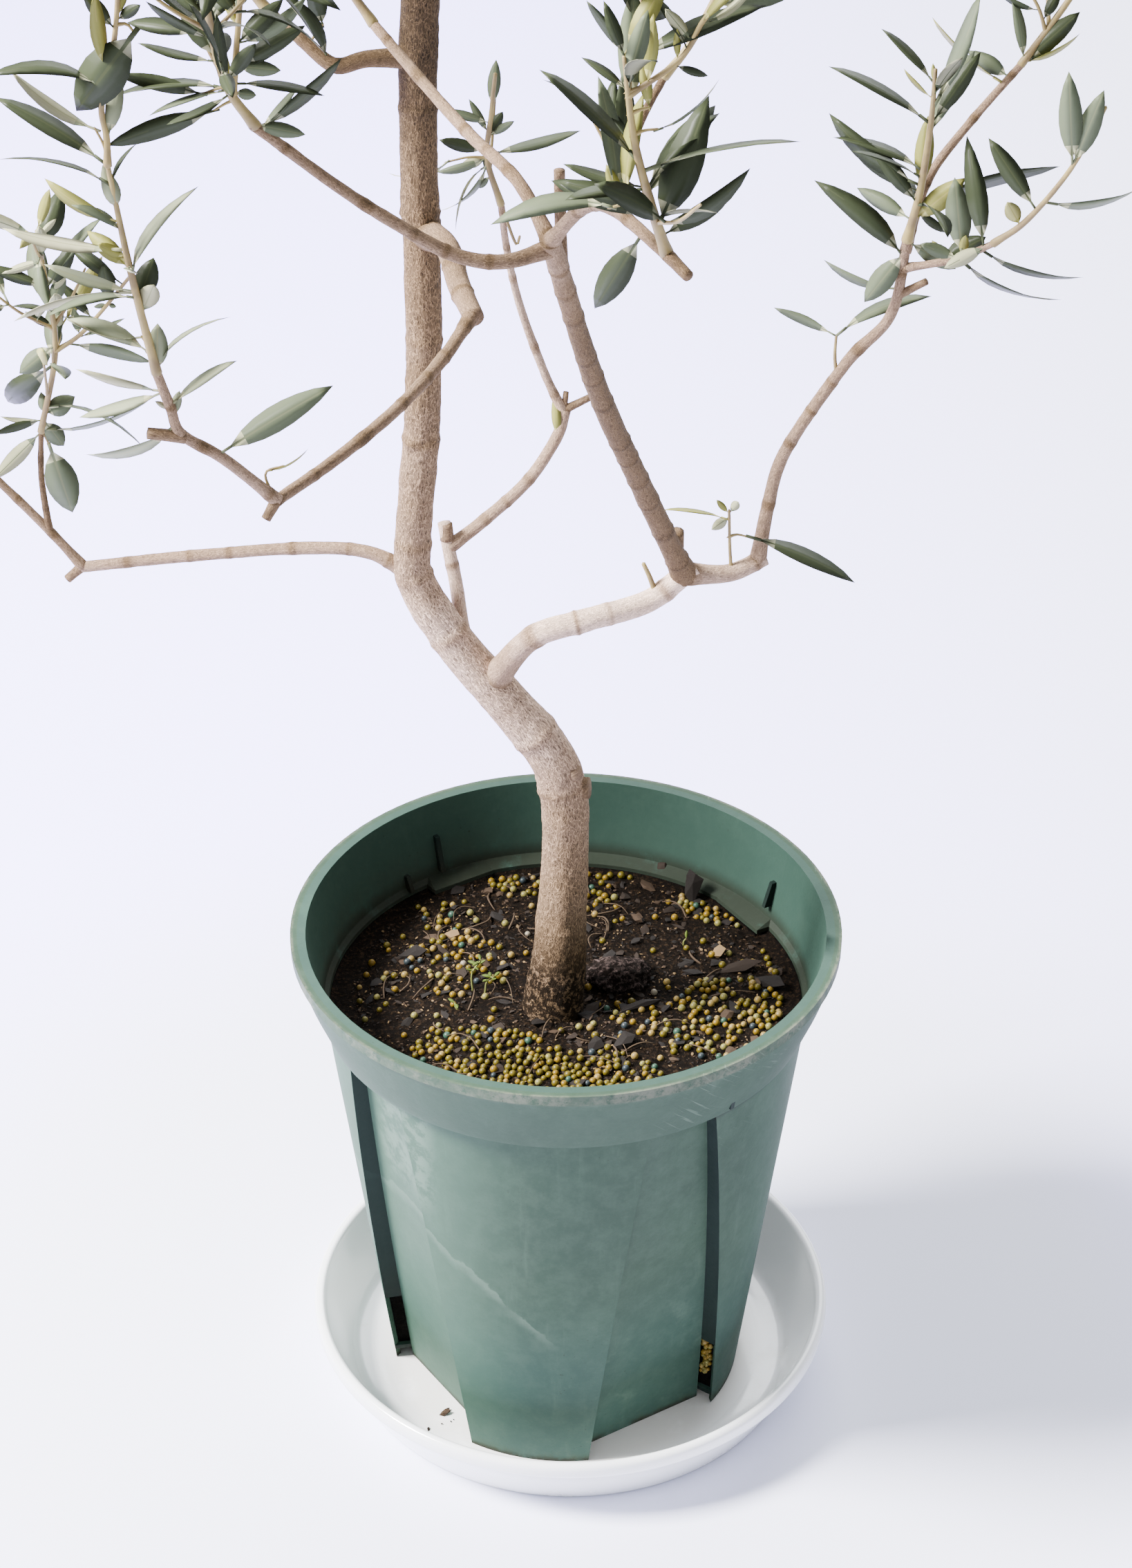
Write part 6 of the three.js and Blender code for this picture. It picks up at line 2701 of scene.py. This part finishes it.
    def _add_seedlings(self) -> None:
        """Grow the small weeds that came up in the pot."""
        stalks = Shape()
        leaves = []
        for pixel, bearing, rise, reach, count in (
            ((684, 1433), 100, 78, 17.0, 7), ((702, 1436), 40, 80, 12.0, 5), ((989, 1366), 80, 80, 4.0, 1),
            ((662, 1462), 150, 50, 4.0, 2),
        ):
            root = self._behind(pixel)
            legs = ((bearing, rise, reach * 0.6), (bearing - 60, rise - 34, reach * 0.5))
            corners = corners_of(root, legs)
            limb = Limb.through(corners, [0.6, 0.5, 0.4])
            Wood(6).build(stalks, limb, 400.0 + len(leaves))
            for number in range(count):
                along = heading(bearing + 137 * number, 58 if count == 1 else 22)
                up = unit(np.cross(along, np.cross(vec(0.1, -0.4, 1.0), along)))
                size = vec(6.0, 2.4, 6.0) if number % 2 else vec(4.8, 1.9, 4.8)
                place = place_at(limb.fine, length_of(limb.fine) * lerp(1.0, 0.6, number / max(count, 3)))[0]
                leaves.append(Bit(place, along, up, size, number % len(BLADES)))
        green = LeafColours((0.062, 0.09, 0.011), (0.08, 0.11, 0.02), (0.085, 0.11, 0.02), 0.55)
        stalk = Plain("weed_stalk", (0.14, 0.15, 0.04), 0.5, 0.15).material()
        mount(put("weed_stalks", stalks.mesh("weed_stalks"), stalk), "soil")
        forms = [blade.mesh("weed_form") for blade in BLADES]
        mount(Scatter("weed_leaves", forms, green.materials("weed_leaf")).build(leaves), "soil")


STUBS: tuple[Stub, ...] = (
    Stub("trunk", (838, 1136), -12, 8, 14.6, 6.0, 0.55),
    Stub("trunk", (832, 1118), -40, 30, 13.5, 4.5, 0.66),
    Stub("bough_front_right", (976, 369), -60, -10, 14, 2.4),
    Stub("bough_right_front", (816, 401), -100, 84, 52, 2.6),
    Stub("bough_right_front", (987, 800), -80, 80, 16, 4.0),
    Stub("bough_right_rise", (1316, 430), -20, 35, 17, 1.9),
    Stub("bough_back_foot", (648, 780), 100, 84, 9, 3.3),
    Stub("bough_back", (820, 594), 14, 22, 14, 2.0),
    Stub("bough_back", (815, 600), 60, 78, 13, 1.6),
    Stub("bough_left", (119, 819), 190, -40, 10, 2.4),
    Stub("bough_knee_front", (403, 730), -150, -55, 9, 2.4),
    Stub("bough_knee_left", (268, 632), -170, 12, 16, 2.6),
)

BOUGH_TONES: dict[str, float] = {
    "bough_right_side": 0.68, "bough_right_top": 0.68, "bough_right_low": 0.8, "bough_right_rise": 0.66,
    "bough_left": 0.72, "bough_left_rise": 0.6, "bough_back_foot": 0.88, "bough_back": 0.75,
    "bough_back_rise": 0.78, "bough_knee": 0.6, "bough_knee_front": 0.58, "bough_knee_left": 0.7,
    "bough_front_left": 0.6, "bough_front_mid": 0.6, "bough_front_right": 0.6,
}

BOUGH_TONES_BY_HEIGHT: dict[str, tuple[Pair, ...]] = {
    "bough_right": ((485.0, 0.72), (507.0, 0.9), (520.0, 0.98)),
    "bough_right_front": ((480.0, 0.62), (560.0, 0.44), (740.0, 0.36), (800.0, 0.62)),
}

TWIGS: tuple[SeenTwig, ...] = (
    SeenTwig("twig_knee_left", "foliage_knee_left", ((160, 240), (154, 195), (147, 150), (165, 60),
             (172, -30))),
    SeenTwig("twig_left_low", "foliage_left_low", ((86, 506), (115, 485), (150, 447), (188, 400)), 1.3),
    SeenTwig("twig_front_left", "foliage_front_left", ((333, 140), (343, 60), (350, -30))),
    SeenTwig("twig_right_low", "bough_right_low", ((1057, 830), (1056, 790), (1055, 738)), 1.0),
    SeenTwig("twig_right_rise", "bough_right_rise", ((1209, 545), (1208, 515), (1210, 486)), 1.0),
    SeenTwig("twig_bough_right", "bough_right", ((943, 850), (940, 834), (931, 815)), 1.5),
    SeenTwig("twig_knee_front", "bough_knee_front", ((376, 702), (384, 685), (410, 674)), 0.7),
    SeenTwig("twig_right_top", "foliage_right_top", ((1512, 42), (1503, 12), (1485, -20)), 1.0),
    SeenTwig("twig_front_right", "foliage_front_right", ((962, 135), (985, 85), (1018, 30),
             (1062, -20)), 1.2),
    SeenTwig("twig_back", "foliage_back", ((735, 372), (746, 352), (752, 342)), 0.9),
)

SEEN: tuple[SeenLeaves, ...] = (
    SeenLeaves("foliage_left_low", Kind.DEEP, (
        (55, 360, 88, 278, 30), (57, 418, -20, 384, 18), (80, 412, 104, 362, 22), (62, 452, 18, 437, 9),
        (70, 474, 38, 452, 13), (86, 529, -12, 600, 34), (62, 606, -10, 625, 12))),
    SeenLeaves("foliage_left_low", Kind.GREY, (
        (70, 440, 92, 402, 18), (84, 497, 27, 541, 26), (72, 600, 104, 576, 26), (68, 600, 60, 571, 14),
        (66, 606, 94, 647, 24), (70, 640, 107, 747, 40), (68, 620, 230, 602, 10), (72, 590, 212, 605, 9))),
    SeenLeaves("foliage_left_low", Kind.GREY, (
        (46, 346, -60, 296, 20), (51, 381, 8, 394, 12), (66, 420, 96, 400, 10), (80, 474, 88, 456, 12),
        (62, 606, 4, 610, 9), (60, 634, -6, 690, 20), (58, 345, 82, 316, 8)), True),
    SeenLeaves("twig_left_low", Kind.DEEP, (
        (130, 458, 86, 408, 15), (176, 408, 97, 352, 20), (158, 436, 150, 384, 22))),
    SeenLeaves("twig_left_low", Kind.GREY, (
        (100, 502, 221, 518, 18), (112, 488, 184, 465, 8), (116, 484, 106, 447, 13), (156, 442, 136, 444, 7),
        (156, 441, 168, 444, 7))),
    SeenLeaves("bough_knee_left", Kind.GREY, ((319, 656, 476, 557, 34),)),
    SeenLeaves("bough_knee_left", Kind.PALE, (
        (256, 612, 132, 688, 14), (244, 562, 120, 610, 17), (262, 604, 260, 564, 13),
        (262, 580, 333, 515, 12), (236, 536, 228, 471, 27), (232, 520, 303, 437, 9),
        (218, 512, 104, 448, 22))),
    SeenLeaves("bough_knee_left", Kind.PALE, (
        (242, 562, 108, 543, 12), (250, 590, 224, 580, 8), (212, 487, 96, 482, 6)), True),
    SeenLeaves("twig_knee_front", Kind.YOUNG, ((388, 682, 449, 662, 4),)),
    SeenLeaves("foliage_knee_left", Kind.DEEP, (
        (213, 436, 222, 374, 29), (156, 272, 8, 202, 11), (170, 268, 180, 206, 7), (152, 228, -2, 130, 27),
        (150, 130, -2, 68, 14))),
    SeenLeaves("foliage_knee_left", Kind.PALE, (
        (196, 398, 243, 268, 17), (200, 424, 62, 390, 18), (170, 304, 152, 250, 23),
        (156, 200, 172, 108, 22))),
    SeenLeaves("foliage_knee_left", Kind.PALE, (
        (216, 450, 226, 404, 26), (176, 360, 4, 345, 19), (198, 424, 18, 446, 8),
        (146, 190, 4, 118, 22)), True),
    SeenLeaves("foliage_knee_left", Kind.YOUNG, (
        (188, 388, 126, 334, 26), (184, 372, 140, 352, 16), (172, 322, 58, 272, 18))),
    SeenLeaves("twig_knee_left", Kind.DEEP, (
        (200, 40, 104, 169, 60), (168, 40, 118, -14, 22), (168, 30, 205, 6, 16))),
    SeenLeaves("twig_knee_left", Kind.YOUNG, ((152, 108, 129, -16, 22), (166, 30, 186, -40, 14))),
    SeenLeaves("foliage_front_left", Kind.DEEP, (
        (300, 138, 172, 103, 22), (318, 158, 152, 205, 28), (300, 96, 198, 70, 13), (306, 92, 262, -14, 40),
        (290, 62, 208, 10, 13), (330, 120, 372, 60, 20), (318, 60, 288, -10, 24), (312, 30, 240, -24, 18))),
    SeenLeaves("foliage_front_left", Kind.GREY, (
        (312, 142, 212, 157, 9), (318, 84, 300, 20, 15), (310, 10, 330, -44, 20))),
    SeenLeaves("bough_front_left", Kind.GREY, ((350, 166, 443, 195, 21), (380, 178, 436, 128, 11))),
    SeenLeaves("bough_front_left", Kind.DEEP, ((376, 180, 500, 96, 17),)),
    SeenLeaves("twig_front_left", Kind.DEEP, (
        (338, 120, 470, 128, 14), (342, 96, 440, 38, 25), (346, 60, 402, 6, 26), (340, 100, 426, 58, 14),
        (348, 24, 300, -32, 24), (350, 0, 400, -46, 20))),
    SeenLeaves("twig_front_left", Kind.GREY, (
        (340, 96, 406, 102, 22), (344, 62, 447, 18, 17), (348, 20, 362, -44, 18), (334, 134, 372, 138, 16))),
    SeenLeaves("twig_front_left", Kind.YOUNG, ((338, 128, 316, 60, 10), (346, 40, 322, -20, 14))),
    SeenLeaves("bough_left_high", Kind.DEEP, ((466, 92, 440, -8, 14), (468, 40, 452, -30, 26))),
    SeenLeaves("foliage_back", Kind.GREY, (
        (714, 158, 718, 87, 17), (712, 224, 841, 198, 16), (714, 198, 746, 174, 11),
        (712, 196, 680, 146, 11), (713, 176, 645, 159, 13), (702, 226, 634, 256, 12),
        (704, 232, 657, 327, 12), (712, 254, 690, 275, 9), (650, 232, 566, 279, 12))),
    SeenLeaves("foliage_back", Kind.DEEP, (
        (713, 200, 728, 161, 15), (704, 220, 634, 202, 18), (706, 224, 682, 192, 13),
        (708, 250, 700, 228, 9))),
    SeenLeaves("foliage_back", Kind.GREY, ((704, 226, 666, 241, 15), (703, 238, 639, 310, 6)), True),
    SeenLeaves("foliage_front_right", Kind.DEEP, (
        (952, 326, 1015, 166, 50), (954, 322, 1088, 281, 18), (958, 340, 1056, 288, 25),
        (926, 240, 796, 92, 21), (912, 130, 845, 78, 14), (912, 70, 852, -4, 14), (910, 62, 876, 8, 18),
        (935, 300, 806, 262, 27), (930, 270, 814, 244, 17))),
    SeenLeaves("bough_front_right", Kind.DEEP, ((930, 340, 856, 453, 38), (880, 300, 832, 262, 22))),
    SeenLeaves("foliage_front_right", Kind.GREY, (
        (895, 296, 877, 112, 26), (892, 302, 720, 286, 23), (925, 160, 918, -20, 36),
        (916, 120, 936, 20, 26), (950, 240, 1152, 182, 7), (945, 190, 1052, 134, 7))),
    SeenLeaves("foliage_front_right", Kind.YOUNG, (
        (904, 290, 920, 138, 22), (936, 130, 950, 16, 20), (900, 296, 878, 240, 16),
        (940, 160, 930, 90, 16))),
    SeenLeaves("twig_front_right", Kind.DEEP, ((990, 70, 952, -14, 14), (975, 100, 1028, 111, 12))),
    SeenLeaves("twig_front_right", Kind.YOUNG, ((1014, 34, 1062, -22, 12), (984, 92, 980, 40, 10))),
    SeenLeaves("twig_front_right", Kind.GREY, ((1020, 40, 1102, -12, 10), (1000, 58, 960, 10, 18)), True),
    SeenLeaves("bough_right_rise", Kind.DEEP, ((1306, 372, 1205, 263, 27),)),
    SeenLeaves("bough_right_rise", Kind.GREY, ((1304, 362, 1249, 439, 30), (1301, 416, 1187, 396, 9))),
    SeenLeaves("twig_right_rise", Kind.GREY, ((1209, 488, 1336, 407, 15), (1209, 488, 1122, 440, 13))),
    SeenLeaves("foliage_right", Kind.DEEP, (
        (1352, 182, 1209, 84, 14), (1353, 120, 1282, 36, 12), (1338, 272, 1191, 185, 22),
        (1338, 250, 1217, 182, 17), (1334, 298, 1266, 214, 22), (1330, 280, 1229, 214, 21),
        (1334, 300, 1528, 226, 17), (1326, 306, 1370, 338, 12))),
    SeenLeaves("foliage_right", Kind.GREY, (
        (1326, 318, 1239, 271, 22), (1358, 200, 1401, 70, 23), (1360, 160, 1433, -8, 24),
        (1326, 350, 1388, 392, 22))),
    SeenLeaves("foliage_right", Kind.YOUNG, (
        (1322, 320, 1394, 260, 30), (1352, 145, 1305, 104, 6), (1342, 280, 1343, 168, 24),
        (1356, 120, 1350, 92, 7))),
    SeenLeaves("bough_right_side", Kind.DEEP, (
        (1388, 376, 1523, 463, 13), (1420, 366, 1557, 426, 13), (1426, 360, 1402, 216, 27),
        (1356, 378, 1428, 342, 28))),
    SeenLeaves("bough_right_side", Kind.GREY, ((1392, 374, 1382, 262, 32), (1388, 376, 1330, 352, 18))),
    SeenLeaves("bough_right_side", Kind.GREY, ((1428, 360, 1366, 388, 20),), True),
    SeenLeaves("bough_right_side", Kind.YOUNG, ((1392, 374, 1398, 338, 12), (1370, 378, 1350, 350, 12))),
    SeenLeaves("foliage_right_side", Kind.DEEP, ((1500, 305, 1432, 202, 25),)),
    SeenLeaves("foliage_right_side", Kind.GREY, (
        (1556, 244, 1547, 112, 30), (1556, 244, 1595, 137, 30), (1516, 298, 1655, 297, 17))),
    SeenLeaves("foliage_right_side", Kind.YOUNG, ((1482, 330, 1456, 290, 20),), True),
    SeenLeaves("bough_right_top", Kind.DEEP, ((1488, 84, 1562, 18, 27), (1486, 90, 1528, 66, 10))),
    SeenLeaves("bough_right_top", Kind.GREY, ((1460, 114, 1404, 76, 22), (1488, 82, 1472, -4, 16))),
    SeenLeaves("bough_right_top", Kind.YOUNG, ((1452, 118, 1340, 38, 5), (1488, 86, 1566, 63, 9))),
    SeenLeaves("twig_right_top", Kind.DEEP, ((1502, 14, 1440, -2, 10), (1508, 30, 1534, -14, 16))),
    SeenLeaves("twig_right_low", Kind.GREY, ((1055, 744, 1073, 721, 12), (1055, 748, 1030, 766, 14)), True),
    SeenLeaves("twig_right_low", Kind.YOUNG, ((1055, 752, 962, 728, 5), (1056, 742, 1036, 722, 8))),
    SeenLeaves("twig_right_low", Kind.DEEP, ((1079, 775, 1244, 832, 22),)),
    SeenLeaves("bough_back", Kind.YOUNG, ((802, 632, 803, 577, 12),)),
)


def main() -> None:
    """Build every piece in order."""
    logging.basicConfig(level=logging.INFO, format="%(message)s")
    view = Viewpoint()
    view.build()
    Studio().build()
    pot = Pot()
    Saucer().build()
    pot.build()
    Soil(pot, view).build()
    tree = Frame(view)
    tree.lay()
    tree.build()
    crown = Crown(tree)
    crown.grow()
    crown.build()


if __name__ == "__main__":
    main()
